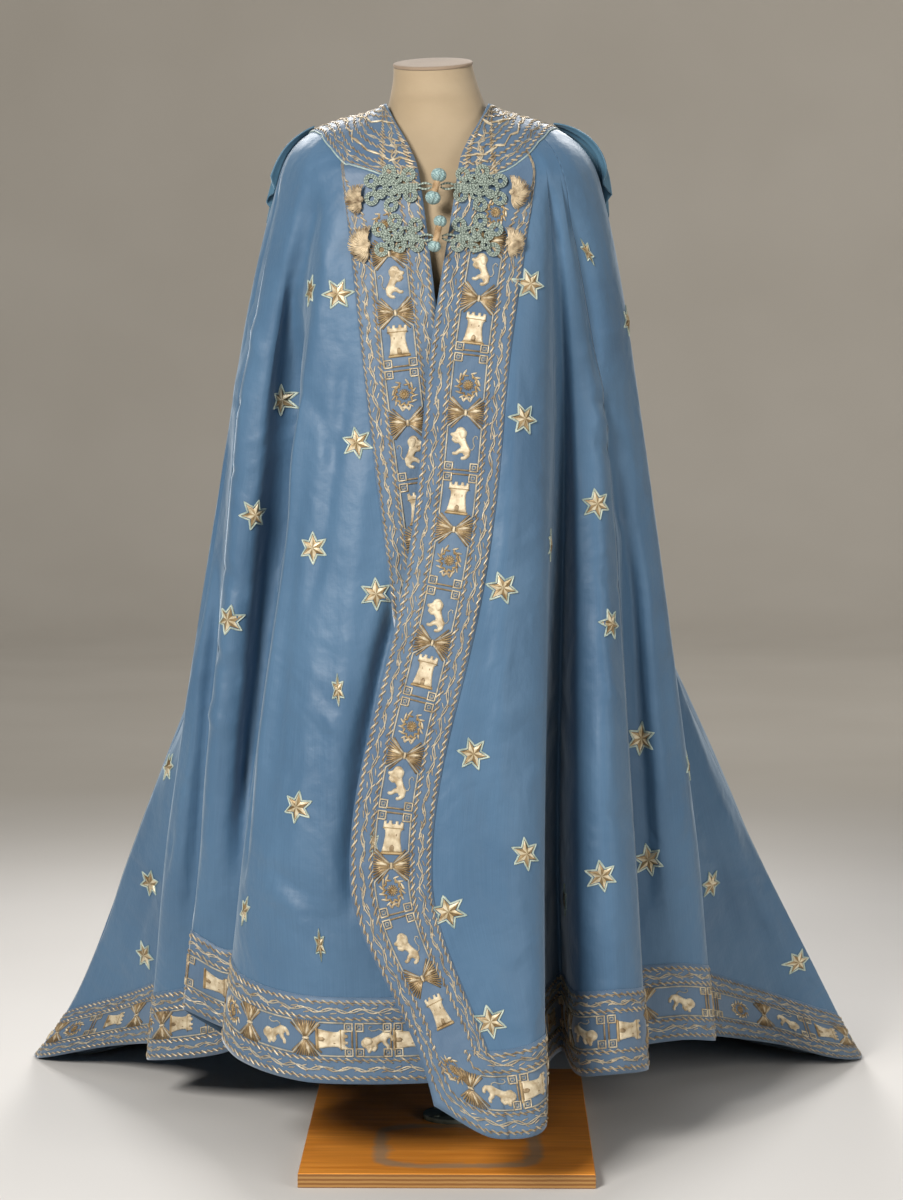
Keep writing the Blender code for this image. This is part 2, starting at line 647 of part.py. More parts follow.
def plate(name, flat, triangles, back, front, finish):
    """A plate from a flat outline's triangles and the points of its back and front faces."""
    count = len(flat)
    facing = []
    for a, b, c in triangles:
        turn = (flat[b] - flat[a]).cross(flat[c] - flat[a])
        facing.append((a, b, c) if turn > 0 else (a, c, b))
    faces = []
    edges = {}
    for a, b, c in facing:
        faces.append((a + count, b + count, c + count))
        faces.append((c, b, a))
        for edge in ((a, b), (b, c), (c, a)):
            edges[edge] = True
    for a, b in edges:
        if (b, a) not in edges:
            faces.append((a, b, b + count, a + count))
    return make_object(name, np.concatenate([back, front]), faces, finish)


def build_frog(name, frog):
    """Rings of cord round a knotted middle, on the chest, with a tongue out to the toggle."""
    shapes = []
    holes = []
    for disc in frog.discs:
        x = frog.x + frog.side * disc.out
        z = frog.z + disc.up
        shapes.append(polygon(x * MM, z * MM, disc.radius * MM, DISC_SIDES))
        if disc.hole:
            holes.append(polygon(x * MM, z * MM, disc.hole * MM, HOLE_SIDES))
    low = (frog.z - TONGUE_HALF_HEIGHT) * MM
    high = (frog.z + TONGUE_HALF_HEIGHT) * MM
    root = (frog.x - frog.side * 12) * MM
    end = frog.tongue_end * MM
    near, far = sorted((root, end))
    shapes.append([(near, low), (far, low), (far, high), (near, high)])
    flat, triangles = flat_union(shapes, holes)
    x = np.array([p.x for p in flat])
    z = np.array([p.y for p in flat])
    edge = edge_x(z, frog.side < 0)
    within = np.minimum(x, edge) if frog.side < 0 else np.maximum(x, edge)
    depth, facing = front_depth(within, z, frog.side < 0)
    beyond = np.abs(x - within)
    lift = np.minimum(TONGUE_LIFT, beyond * 0.5)
    back = np.stack([x, depth - APPLIQUE_LOW / facing - lift, z], axis=1)
    front = np.stack([x, depth - (APPLIQUE_LOW + FROG_WALL) / facing - lift, z], axis=1)
    plate(name, flat, triangles, back, front, CORD)


def edge_x(z, left):
    """Where a front edge is at these heights, a little inside the cloth."""
    alongs = np.linspace(0.0, 0.4, 81)
    path = cloth(np.full(81, 0.0 if left else float(LAST)), alongs)
    inside = -2 * MM if left else 2 * MM
    return np.interp(-np.asarray(z), -path[:, 2], path[:, 0]) + inside


def build_tassel(name, tassel):
    """A shell-shaped fan of locks, three-sided, fused at their roots into a round head."""
    head_x = tassel.head_x * MM
    depth, facing = front_depth(head_x, tassel.z * MM, tassel.side < 0)
    y = float(depth[0]) - APPLIQUE_LOW / float(facing[0]) - TASSEL_LIFT
    points = []
    faces = []
    spread = math.radians(TASSEL_SPREAD)
    pitch = spread / TASSEL_LOCKS
    middle = 0 if tassel.side > 0 else math.pi
    root = TASSEL_HEAD * 0.6
    for n in range(TASSEL_LOCKS):
        angle = middle - spread / 2 + pitch * (n + 0.5)
        reach = (tassel.length - 2.5 * (n % 2)) * MM
        first = len(points)
        for radius, top in ((root, TASSEL_THICK * 0.6), (reach, TASSEL_THICK * 0.75)):
            for share, height in ((-LOCK_SHARE, 0.0), (LOCK_SHARE, 0.0), (0.0, top)):
                a = angle + share * pitch
                x = head_x + radius * math.cos(a)
                z = tassel.z * MM + radius * math.sin(a)
                points.append((x, y - height - 0.2 * MM, z))
        a, b, c, d, e, f = range(first, first + 6)
        faces += [(a, c, b), (d, e, f), (a, b, e, d), (b, c, f, e), (c, a, d, f)]
    locks = make_object(name + "_locks", points, faces, TASSEL_THREAD)
    locks.hide_render = True
    locks.display_type = "WIRE"
    head = lathe(
        name,
        ((0, 0), (TASSEL_HEAD, 0), (TASSEL_HEAD, 0.7 * TASSEL_THICK), (0, TASSEL_THICK)),
        TASSEL_SIDES,
        TASSEL_THREAD,
    )
    head.data.transform(turned_to_front(head_x, y, tassel.z * MM))
    joined = head.modifiers.new("locks", "BOOLEAN")
    joined.operation = "UNION"
    joined.object = locks


def turned_to_front(x, y, z):
    """The matrix that turns a shape's +Z to the front and moves it to a place."""
    return Matrix.Translation((x, y, z)) @ Matrix.Rotation(math.radians(90), 4, "X")


def lathe(name, profile, sides, finish, centre=(0, 0, 0)):
    """A turned shape from (radius, height) pairs that start and end on the axis."""
    points = []
    rings = []
    for radius, height in profile:
        if radius == 0:
            rings.append([len(points)])
            points.append((centre[0], centre[1], centre[2] + height))
            continue
        rings.append([len(points) + i for i in range(sides)])
        for i in range(sides):
            angle = 2 * math.pi * i / sides
            x = centre[0] + radius * math.cos(angle)
            y = centre[1] + radius * math.sin(angle)
            points.append((x, y, centre[2] + height))
    return make_object(name, points, ring_faces(rings), finish, 35)


def ring_faces(rings):
    """Faces between rings from bottom to top, with the end rings closed."""
    faces = []
    for low, high in zip(rings, rings[1:]):
        sides = max(len(low), len(high))
        for i in range(sides):
            k = (i + 1) % sides
            if len(low) == 1:
                faces.append((low[0], high[k], high[i]))
            elif len(high) == 1:
                faces.append((low[i], low[k], high[0]))
            else:
                faces.append((low[i], low[k], high[k], high[i]))
    if len(rings[0]) > 1:
        faces.append(tuple(reversed(rings[0])))
    if len(rings[-1]) > 1:
        faces.append(tuple(rings[-1]))
    return faces


def build_torso():
    points = []
    rings = []
    for ring in TORSO_RINGS:
        rings.append([len(points) + i for i in range(TORSO_SIDES)])
        for i in range(TORSO_SIDES):
            angle = 2 * math.pi * i / TORSO_SIDES
            x = ring.centre_x + ring.half_x * math.cos(angle)
            y = ring.centre_y + ring.half_y * math.sin(angle)
            tilt = NECK_SLANT * ring.half_y * math.sin(angle)
            roll = NECK_ROLL * ring.half_x * math.cos(angle)
            z = ring.height + ring.slant * (tilt + roll)
            points.append((x * MM, y * MM, z * MM))
    make_object("torso", points, ring_faces(rings), LINEN)


def build_neck_cap():
    top = TORSO_RINGS[-1]
    points = []
    rings = []
    sections = ((0, CAP_OVERHANG), (0.75, CAP_OVERHANG), (1, -0.6 * MM))
    for height, over in sections:
        rings.append([len(points) + i for i in range(TORSO_SIDES)])
        for i in range(TORSO_SIDES):
            angle = 2 * math.pi * i / TORSO_SIDES
            x = top.centre_x * MM + (top.half_x * MM + over) * math.cos(angle)
            y = top.centre_y * MM + (top.half_y * MM + over) * math.sin(angle)
            tilt = NECK_SLANT * (y - top.centre_y * MM)
            roll = NECK_ROLL * (x - top.centre_x * MM)
            z = top.height * MM + SEAM_GAP + height * CAP_THICKNESS + tilt + roll
            points.append((x, y, z))
    make_object("neck_cap", points, ring_faces(rings), CAP_LINEN)


def build_stand():
    bevel = BOARD_BEVEL
    points = []
    rings = []
    levels = ((bevel, 0), (0, bevel), (0, BOARD_THICKNESS - bevel), (bevel, BOARD_THICKNESS))
    for inset, height in levels:
        rings.append([len(points) + i for i in range(4)])
        across = BOARD_WIDTH / 2 - inset
        deep = BOARD_DEPTH / 2 - inset
        corners = ((-across, -deep), (across, -deep), (across, deep), (-across, deep))
        points += [(x, y, height) for x, y in corners]
    board = make_object("board", points, ring_faces(rings), WOOD, 30)
    turn = Matrix.Rotation(math.radians(BOARD_TURN), 4, "Z")
    board.data.transform(Matrix.Translation((BOARD_CENTRE_X, BOARD_CENTRE_Y, 0)) @ turn)
    foot = BOARD_THICKNESS + SEAM_GAP
    top = TORSO_RINGS[0].height * MM - SEAM_GAP
    lathe(
        "stand_pole",
        (
            (0, foot),
            (FLANGE_RADIUS, foot),
            (FLANGE_RADIUS, foot + FLANGE_HEIGHT * 0.7),
            (FLANGE_RADIUS - 2 * MM, foot + FLANGE_HEIGHT),
            (POLE_RADIUS, foot + FLANGE_HEIGHT),
            (POLE_RADIUS, top),
            (0, top),
        ),
        POLE_SIDES,
        STEEL,
        (POLE_X, POLE_Y, 0),
    )


def build_toggle(name, toggle):
    """A tube with a knob on each end, made as one turned shape and leaned into place."""
    top = Vector((toggle.top_x, toggle.y, toggle.top_z)) * MM
    foot = Vector((toggle.foot_x, toggle.y, toggle.foot_z)) * MM
    length = (top - foot).length
    profile = []
    for i in range(6):
        angle = math.pi * (i / 5) * 0.82
        profile.append((KNOB_RADIUS * math.sin(angle), -KNOB_RADIUS * math.cos(angle)))
    profile[0] = (0, -KNOB_RADIUS)
    profile.append((TOGGLE_RADIUS, KNOB_RADIUS * 0.95))
    upper = [(radius, length - height) for radius, height in reversed(profile)]
    made = lathe(name, tuple(profile + upper), 12, TOGGLE_THREAD)
    turn = Vector((0, 0, 1)).rotation_difference(top - foot).to_matrix().to_4x4()
    made.data.transform(turn)
    made.data.transform(Matrix.Translation(foot))


def move_origin():
    """Puts the middle of the whole model's footprint at the origin, standing on z = 0."""
    solids = [o for o in bpy.context.scene.objects if o.type == "MESH" and not o.hide_render]
    corners = np.array([v.co for o in solids for v in o.data.vertices])
    middle = (corners.min(axis=0) + corners.max(axis=0)) / 2
    for made in bpy.context.scene.objects:
        made.data.transform(Matrix.Translation((-middle[0], -middle[1], 0)))


def main():
    for old in list(bpy.data.objects):
        bpy.data.objects.remove(old)
    build_stand()
    build_torso()
    build_neck_cap()
    build_panels()
    build_borders()
    build_collar()
    build_hood()
    for name, frog in FROGS.items():
        build_frog(name, frog)
    for name, toggle in TOGGLES.items():
        build_toggle(name, toggle)
    for name, tassel in TASSELS.items():
        build_tassel(name, tassel)
    move_origin()


main()
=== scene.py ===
"""The looks of a silk mantle with a train, worn by a limbless dress form on a plywood board.

Left and right are the viewer's, seen from the front. The cloth is one surface over "ribs",
lines that run down it from the neck to the hem. Flat patterns, such as a border's embroidery,
are drawn in metres on a chart of a stretch of that surface, and then laid on it.
"""

import math
from collections import namedtuple

import bpy
import numpy as np
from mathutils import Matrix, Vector


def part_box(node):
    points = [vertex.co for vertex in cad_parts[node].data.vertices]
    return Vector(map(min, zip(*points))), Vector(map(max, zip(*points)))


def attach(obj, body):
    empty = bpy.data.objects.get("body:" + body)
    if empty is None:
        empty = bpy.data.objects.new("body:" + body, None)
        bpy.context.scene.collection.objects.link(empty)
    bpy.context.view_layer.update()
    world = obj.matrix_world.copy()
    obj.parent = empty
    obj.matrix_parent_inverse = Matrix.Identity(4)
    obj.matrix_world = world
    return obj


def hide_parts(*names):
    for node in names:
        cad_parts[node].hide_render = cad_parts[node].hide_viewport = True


MM = 0.001
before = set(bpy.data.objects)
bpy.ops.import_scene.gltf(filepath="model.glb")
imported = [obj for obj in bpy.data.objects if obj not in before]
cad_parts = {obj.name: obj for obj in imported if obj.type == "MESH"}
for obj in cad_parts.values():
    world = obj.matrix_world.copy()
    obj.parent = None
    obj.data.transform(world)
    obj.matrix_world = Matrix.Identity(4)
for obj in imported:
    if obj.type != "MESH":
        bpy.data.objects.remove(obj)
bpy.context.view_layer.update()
BOARD_LOW, BOARD_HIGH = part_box("board")

# The dress form's axis, from where the board's middle lies.
BOARD_FROM_AXIS = (0.5 * MM, 106 * MM)
AXIS = np.array(
    [
        (BOARD_LOW.x + BOARD_HIGH.x) / 2 - BOARD_FROM_AXIS[0],
        (BOARD_LOW.y + BOARD_HIGH.y) / 2 - BOARD_FROM_AXIS[1],
        0.0,
    ]
)

# The photographer's camera, from the form's axis.
CAMERA_BACK = 4.0
CAMERA_HEIGHT = 1.057
LENS = 84
FOCAL = 2800
MIDDLE_X = 449
MIDDLE_Y = 410
PHOTO_WIDTH = 903
PHOTO_HEIGHT = 1200

# Cloth thicknesses and heights over the silk.
CLOTH_WALL = 2.0 * MM
GROUND_LOW = 0.2 * MM
GROUND_HIGH = 1.1 * MM
COLLAR_GROUND = 1.7 * MM
FRONT_BORDER = 111 * MM
HEM_BORDER = 117 * MM

# The collar's length from the neckline at turns round the form, in millimetres.
COLLAR_TURNS = (0, 15, 30, 45, 60, 75, 90, 120, 180, 240, 270, 285, 300, 315, 330, 345, 360)
COLLAR_LENGTHS = (
    175, 170, 148, 124, 112, 116, 128, 140, 155, 128, 118, 108, 104, 110, 132, 160, 168
)

# Where each rib crosses the neck, the crest of the shoulders and the ring below them.
Ring = namedtuple("Ring", "centre_x centre_y half_x half_y first_turn side_z front_z back_z")
NECK = Ring(-16.5, -16, 78, 80, 72, 1490, 1490, 1498)
CREST = Ring(-16.5, 0, 183, 110, 11.5, 1451, 1417, 1450)
SHOULDER = Ring(-14.5, 0, 231, 142, 6, 1380, 1366, 1380)

ELBOW_Z = 1050
SHIN_Z = 450
ANKLE_SHARE = 0.6
STATION = (0.0, 0.07, 0.14, 0.36, 0.72, 0.87, 1.0)

Rib = namedtuple(
    "Rib", "name turn elbow_x elbow_y shin_x shin_y hem_x hem_y hem_z sag sway flare", defaults=(0,)
)
LEFT_RIBS = (
    Rib("left_edge", 6, 0, -156, 75, -190, 90, -205, 150, 0, 0),
    Rib("left_band", 34, -108, -150, -32, -203, -10, -215, 148, 0, 0),
    Rib("left_front", 37, -150, -143, -130, -207, -115, -208, 144, 0, 0),
    Rib("left_front_side", 40, -182, -128, -222, -180, -205, -195, 146, 0, 0),
    Rib("left_fold", 43, -203, -105, -280, -122, -290, -125, 158, 0, 0),
    Rib("left_fold_back", 46, -212, -75, -285, -70, -318, -70, 178, 0, 0),
    Rib("left_valley", 50, -228, -42, -268, -10, -288, 0, 172, 0, 0),
    Rib("left_column_in", 58, -262, -44, -320, -8, -326, 36, 168, 0, 0),
    Rib("left_seam", 80, -296, -15, -356, 28, -384, 50, 190, 0, 0),
    Rib("left_gap", 86, -309, 12, -338, 95, -318, 150, 112, 0, 0),
    Rib("left_side", 94, -315, 45, -412, 138, -458, 270, 66, 0, 0),
    Rib("left_side_gap", 102, -303, 88, -404, 212, -450, 345, 72, 0, 0),
    Rib("left_train", 110, -284, 128, -432, 265, -540, 455, 45, 0.1, 0, 6),
    Rib("left_corner", 122, -228, 190, -462, 330, -671, 560, 2, 0.17, 0, 5),
)
RIGHT_RIBS = (
    Rib("right_corner", 238, 178, 190, 440, 312, 671, 560, 2, 0.3, 0, 24),
    Rib("right_ridge", 242, 196, 178, 430, 285, 620, 508, 14, 0.1, 0, 10),
    Rib("right_train", 246, 214, 165, 416, 262, 530, 465, 45, 0.1, 0, 6),
    Rib("right_side_gap", 254, 250, 130, 352, 190, 385, 300, 98, 0, 0),
    Rib("right_side", 266, 279, 72, 360, 104, 394, 152, 122, 0, 0),
    Rib("right_side_in", 282, 262, 32, 308, 62, 340, 108, 133, 0, 0),
    Rib("right_gap", 298, 241, 8, 254, 62, 266, 72, 128, 0, 0),
    Rib("right_seam", 310, 221, -12, 263, -36, 281, -45, 126, 0, 0),
    Rib("right_column", 312, 201, -36, 225, -82, 233, -96, 131, 0, 0),
    Rib("right_column_in", 314, 179, -46, 178, -62, 184, -76, 124, 0, 0),
    Rib("right_valley", 317, 163, -26, 158, 62, 165, 92, 121, 0, 0),
    Rib("right_valley_in", 319, 150, -50, 128, -40, 128, -55, 116, 0, 0),
    Rib("right_fold", 321, 140, -116, 130, -196, 130, -262, 103, 0, 0),
    Rib("right_fold_front", 322.5, 131, -138, 121, -223, 119, -290, 97, 0, 0.2),
    Rib("right_front", 324, 112, -155, 105, -238, 95, -300, 94, 0, 0.45),
    Rib("right_band", 326, 78, -168, 76, -248, 56, -303, 98, 0, 0.95),
    Rib("right_edge", 354, -31, -172, -25, -246, -8, -290, 135, 0, 1),
)
SWAY = -109
SWAY_Z = 430
SWAY_ABOVE = 240
SWAY_BELOW = 140

Arc = namedtuple("Arc", "centre_x half_x start_y depth fold")
BACK_RIBS = 11
BACK_ELBOW = Arc(-25, 203, 190, 52, 7)
BACK_SHIN = Arc(-11, 447, 321, 150, 18)
BACK_HEM = Arc(0, 671, 560, 375, 12)
BACK_SAG = 0.75
BACK_HEM_Z = 2

WIDEST_REACH = 2.0
PATH_SAMPLES = 160

# How finely the cloth is laid out: rows under the collar, down the cloth and over the hem
# border, steps across a front border, and the steps of columns.
TOP_ROWS = 8
CLOTH_ROWS = 100
HEM_ROWS = 11
COLLAR_ROWS = 18
BORDER_STEPS = 13
HEM_CHART_ROWS = 15
STEP = 10 * MM
BACK_STEP = 1.4 * STEP
CHART_STEP = 8 * MM


def ring_point(ring, turn, first):
    """The point where a rib of this turn crosses a ring, with the front edges spread to first."""
    share = (turn - SHOULDER.first_turn) / (360 - 2 * SHOULDER.first_turn)
    angle = math.radians(first + share * (360 - 2 * first))
    front = max(0.0, math.cos(angle)) ** 2
    back = max(0.0, -math.cos(angle)) ** 2
    height = ring.side_z + (ring.front_z - ring.side_z) * front + (ring.back_z - ring.side_z) * back
    return (
        ring.centre_x - ring.half_x * math.sin(angle),
        ring.centre_y - ring.half_y * math.cos(angle),
        height,
    )


def back_rib(number):
    """A rib of the back, which is a ridge where its number is even."""
    angle = math.pi * number / (BACK_RIBS + 1)
    fold = 1 if number % 2 else -1
    places = []
    for arc in (BACK_ELBOW, BACK_SHIN, BACK_HEM):
        across = arc.half_x + fold * arc.fold
        depth = arc.depth + fold * arc.fold
        places += [arc.centre_x - across * math.cos(angle), arc.start_y + depth * math.sin(angle)]
    left = LEFT_RIBS[-1].turn
    turn = left + (RIGHT_RIBS[0].turn - left) * number / (BACK_RIBS + 1)
    return Rib(f"back_{number}", turn, *places, BACK_HEM_Z, BACK_SAG, 0)


def stations(rib):
    """The seven points that a rib passes, from the neck to the hem, in metres."""
    points = [ring_point(ring, rib.turn, ring.first_turn) for ring in (NECK, CREST, SHOULDER)]
    points.append((rib.elbow_x, rib.elbow_y, ELBOW_Z))
    points.append((rib.shin_x, rib.shin_y, SHIN_Z))
    keep = 1 - ANKLE_SHARE
    ankle_z = keep * SHIN_Z + ANKLE_SHARE * rib.hem_z
    points.append(
        (
            keep * rib.shin_x + ANKLE_SHARE * rib.hem_x + rib.flare,
            keep * rib.shin_y + ANKLE_SHARE * rib.hem_y,
            ankle_z * (1 - rib.sag),
        )
    )
    points.append((rib.hem_x, rib.hem_y, rib.hem_z))
    return np.array(points) * MM


RIBS = LEFT_RIBS + tuple(back_rib(n) for n in range(1, BACK_RIBS + 1)) + RIGHT_RIBS
NAMES = [rib.name for rib in RIBS]
POINTS = np.array([stations(rib) for rib in RIBS])
TURNS = np.array([float(rib.turn) for rib in RIBS])
PLACES = np.arange(len(RIBS), dtype=float)
SWAYS = np.array([float(rib.sway) for rib in RIBS])
LAST = len(RIBS) - 1
LEFT_SEAM = NAMES.index("left_seam")
RIGHT_SEAM = NAMES.index("right_seam")
LEFT_CORNER = NAMES.index("left_corner")
RIGHT_CORNER = NAMES.index("right_corner")
BACK_LEFT_SEAM = NAMES.index("back_4")
BACK_RIGHT_SEAM = NAMES.index("back_8")


def lengths(points):
    """How far along a path each of its points is."""
    steps = np.linalg.norm(np.diff(points, axis=0), axis=1)
    return np.concatenate([[0.0], np.cumsum(steps)])


ROUND = [lengths(POINTS[:, level]) for level in range(len(STATION))]


def spline_weights(knots, at):
    """The weights that a smooth curve through the knots gives each knot, one row for each place."""
    knots = np.asarray(knots, float)
    at = np.clip(np.atleast_1d(np.asarray(at, float)), knots[0], knots[-1])
    count = len(knots)
    slopes = np.zeros((count, count))
    for i in range(count):
        low = max(i - 1, 0)
        high = min(i + 1, count - 1)
        slopes[i, high] += 1 / (knots[high] - knots[low])
        slopes[i, low] -= 1 / (knots[high] - knots[low])
    span = np.clip(np.searchsorted(knots, at, side="right") - 1, 0, count - 2)
    width = knots[span + 1] - knots[span]
    s = (at - knots[span]) / width
    start = 2 * s**3 - 3 * s**2 + 1
    start_slope = (s**3 - 2 * s**2 + s) * width
    end_slope = (s**3 - s**2) * width
    weights = start_slope[:, None] * slopes[span] + end_slope[:, None] * slopes[span + 1]
    rows = np.arange(len(at))
    weights[rows, span] += start
    weights[rows, span + 1] += 1 - start
    return weights


def cloth(rib, along):
    """Points of the cloth's outer face from the form's axis, between the ribs and along them."""
    rib = np.asarray(rib, float)
    down = spline_weights(STATION, np.asarray(along, float).ravel())
    points = np.zeros((rib.size, 3))
    for level, reached in enumerate(ROUND):
        across = spline_weights(reached, np.interp(rib.ravel(), PLACES, reached))
        points += down[:, level, None] * (across @ POINTS[:, level])
    height = points[:, 2] / MM
    reach = np.where(height > SWAY_Z, SWAY_ABOVE, SWAY_BELOW)
    swing = np.exp(-(((height - SWAY_Z) / reach) ** 2) / 2)
    points[:, 0] += SWAY * MM * np.interp(rib.ravel(), PLACES, SWAYS) * swing
    return points.reshape(rib.shape + (3,))


def outward(rib, along):
    """Unit normals of the cloth's outer face."""
    step = 0.01
    rib = np.asarray(rib, float)
    along = np.asarray(along, float)
    high_rib = np.clip(rib + step, 0, LAST)
    low_rib = np.clip(rib - step, 0, LAST)
    round_way = cloth(high_rib, along) - cloth(low_rib, along)
    down_way = cloth(rib, np.clip(along + step, 0, 1)) - cloth(rib, np.clip(along - step, 0, 1))
    normal = np.cross(round_way, down_way)
    return normal / np.linalg.norm(normal, axis=-1, keepdims=True)


def collar_length(turn):
    """How far the collar reaches from the neckline."""
    return float(np.interp(turn, COLLAR_TURNS, COLLAR_LENGTHS)) * MM


def border_reach(edge, band, along):
    """The place between the ribs where the front border's inner side lies."""
    reach = np.linspace(edge, edge + WIDEST_REACH * (band - edge), 40)
    path = cloth(reach, np.full_like(reach, along))
    return float(np.interp(FRONT_BORDER, lengths(path), reach))


def photo_place(points):
    """Where the photographer's camera sees points, in the photograph's pixels."""
    scale = FOCAL / (CAMERA_BACK + points[..., 1])
    return MIDDLE_X + points[..., 0] * scale, MIDDLE_Y + (CAMERA_HEIGHT - points[..., 2]) * scale


# Creases of the cloth that were placed one by one: the ribs between which each lies, its depth in
# millimetres (a ridge is positive), its half width, and the line that it follows. The front's
# lines are in the photograph's pixels. The back's are millimetres across and up.
Crease = namedtuple("Crease", "first last depth width line")
FRONT_CREASES = (
    Crease(1, 8, -9, 9, ((318, 179), (300, 260), (274, 357))),
    Crease(1, 8, 6, 10, ((335, 200), (322, 300), (300, 420), (285, 520))),
    Crease(1, 8, -6, 10, ((352, 330), (335, 450), (318, 560), (300, 640))),
    Crease(1, 8, 4, 12, ((372, 420), (356, 560), (340, 700), (326, 820))),
    Crease(1, 8, -5, 10, ((300, 470), (285, 600), (276, 720), (262, 850))),
    Crease(1, 8, 3, 9, ((318, 620), (306, 760), (288, 900))),
    Crease(
        1, 7, -26, 9,
        ((401, 560), (396, 610), (380, 672), (368, 730), (359, 790), (353, 850), (353, 930)),
    ),
    Crease(1, 8, -5, 6, ((262, 862), (290, 884), (318, 905))),
    Crease(1, 8, 4, 6, ((262, 885), (288, 905), (312, 930))),
    Crease(1, 8, -4, 5, ((300, 905), (322, 921), (340, 928))),
    Crease(4, 8, -20, 7, ((290, 245), (290, 360), (289, 450), (270, 600), (260, 700), (236, 900))),
    Crease(4, 9, -30, 14, ((287, 245), (286, 360), (284, 450), (266, 600), (256, 700), (234, 900))),
    Crease(1, 5, 8, 7, ((300, 245), (299, 360), (297, 450), (280, 600), (268, 700), (250, 860))),
    Crease(8, 13, -6, 8, ((282, 166), (267, 226), (253, 284), (244, 336), (237, 388))),
    Crease(8, 13, -4, 4, ((222, 402), (237, 404), (252, 412))),
    Crease(4, 13, 9, 10, ((250, 300), (243, 450), (234, 600), (222, 700), (213, 800), (206, 900))),
    Crease(6, 10, -5, 7, ((250, 520), (240, 640), (226, 760), (212, 840))),
    Crease(7, 13, -5, 5, ((226, 560), (240, 590), (256, 606))),
    Crease(7, 13, -4, 5, ((212, 640), (228, 668), (244, 690))),
    Crease(7, 13, 4, 5, ((206, 700), (222, 724), (236, 740))),
    Crease(7, 13, -4, 4, ((232, 462), (246, 480), (262, 488))),
    Crease(7, 13, 4, 5, ((240, 300), (252, 330), (262, 366))),
    Crease(1, 8, -2, 6, ((272, 760), (296, 776), (330, 770))),
    Crease(1, 8, 3, 7, ((300, 700), (322, 720), (346, 730))),
    Crease(1, 8, -3, 6, ((300, 380), (322, 420), (336, 470))),
    Crease(8, 13, 4, 4, ((232, 590), (244, 606), (256, 618))),
    Crease(8, 13, -6, 7, ((236, 400), (218, 500), (198, 620), (180, 720))),
    Crease(8, 13, 5, 8, ((222, 560), (206, 680), (196, 800))),
    Crease(8, 14, -19, 6, ((220, 540), (214, 600), (206, 700), (198, 800), (190, 900), (186, 950))),
    Crease(8, 13, -5, 7, ((190, 700), (172, 800), (160, 900))),
    Crease(8, 13, 5, 9, ((205, 600), (170, 720), (130, 840), (105, 930))),
    Crease(8, 13, -5, 8, ((150, 760), (120, 860), (85, 960))),
    Crease(8, 13, -5, 7, ((172, 820), (148, 900), (128, 960))),
    Crease(33, 41, 5, 10, ((520, 300), (512, 460), (500, 640), (498, 840))),
    Crease(33, 41, -5, 9, ((500, 430), (486, 620), (478, 780), (494, 960))),
    Crease(33, 41, 4, 8, ((470, 640), (462, 780), (466, 900))),
    Crease(33, 41, -4, 4, ((482, 884), (496, 898), (512, 912))),
    Crease(33, 41, -3, 5, ((498, 960), (516, 972), (532, 974))),
    Crease(25, 33, -6, 6, ((545, 168), (567, 209), (580, 240), (592, 315), (599, 400))),
    Crease(30, 36, -6, 5, ((539, 172), (548, 198), (559, 256))),
    Crease(25, 33, -4, 4, ((590, 396), (602, 402), (614, 412))),
    Crease(25, 33, 4, 4, ((588, 416), (602, 424), (616, 434))),
    Crease(25, 33, -4, 4, ((590, 440), (604, 450), (616, 456))),
    Crease(25, 33, -4, 5, ((586, 560), (602, 580), (622, 588))),
    Crease(25, 33, 4, 5, ((590, 660), (606, 690), (626, 706))),
    Crease(25, 33, -4, 5, ((596, 790), (612, 812), (634, 826))),
    Crease(33, 41, -3, 6, ((470, 500), (492, 520), (520, 520))),
    Crease(33, 41, 3, 7, ((470, 700), (494, 716), (526, 712))),
    Crease(25, 36, 8, 12, ((590, 300), (598, 450), (601, 600), (604, 750), (608, 880))),
    Crease(25, 33, -9, 6, ((604, 395), (612, 430), (618, 480), (624, 540))),
    Crease(25, 31, -13, 7, ((622, 500), (636, 600), (640, 700), (648, 850), (654, 940))),
    Crease(25, 31, 5, 7, ((640, 520), (652, 680), (668, 840))),
    Crease(25, 29, -5, 7, ((690, 760), (712, 850), (742, 950))),
    Crease(25, 29, 5, 8, ((712, 780), (748, 880), (790, 960))),
)
BACK_CREASES = (
    Crease(13, 26, -13, 22, ((-170, 1330), (-190, 1100), (-260, 850), (-340, 500))),
    Crease(13, 26, 12, 26, ((-120, 1330), (-140, 1100), (-190, 800), (-260, 460))),
    Crease(13, 26, -15, 24, ((-60, 1330), (-70, 1080), (-100, 820), (-120, 400))),
    Crease(13, 26, 12, 26, ((-5, 1340), (-10, 1000), (-20, 640))),
    Crease(13, 26, -14, 22, ((60, 1330), (72, 1050), (96, 760), (150, 380))),
    Crease(13, 26, 11, 24, ((118, 1330), (140, 1060), (200, 780), (250, 500))),
    Crease(13, 26, -13, 22, ((168, 1330), (196, 1080), (268, 800), (360, 480))),
    Crease(13, 26, -6, 12, ((-30, 820), (10, 700), (30, 560))),
    Crease(13, 26, 6, 13, ((-200, 700), (-150, 560), (-140, 430))),
    Crease(13, 26, -6, 12, ((190, 660), (240, 540), (300, 400))),
)


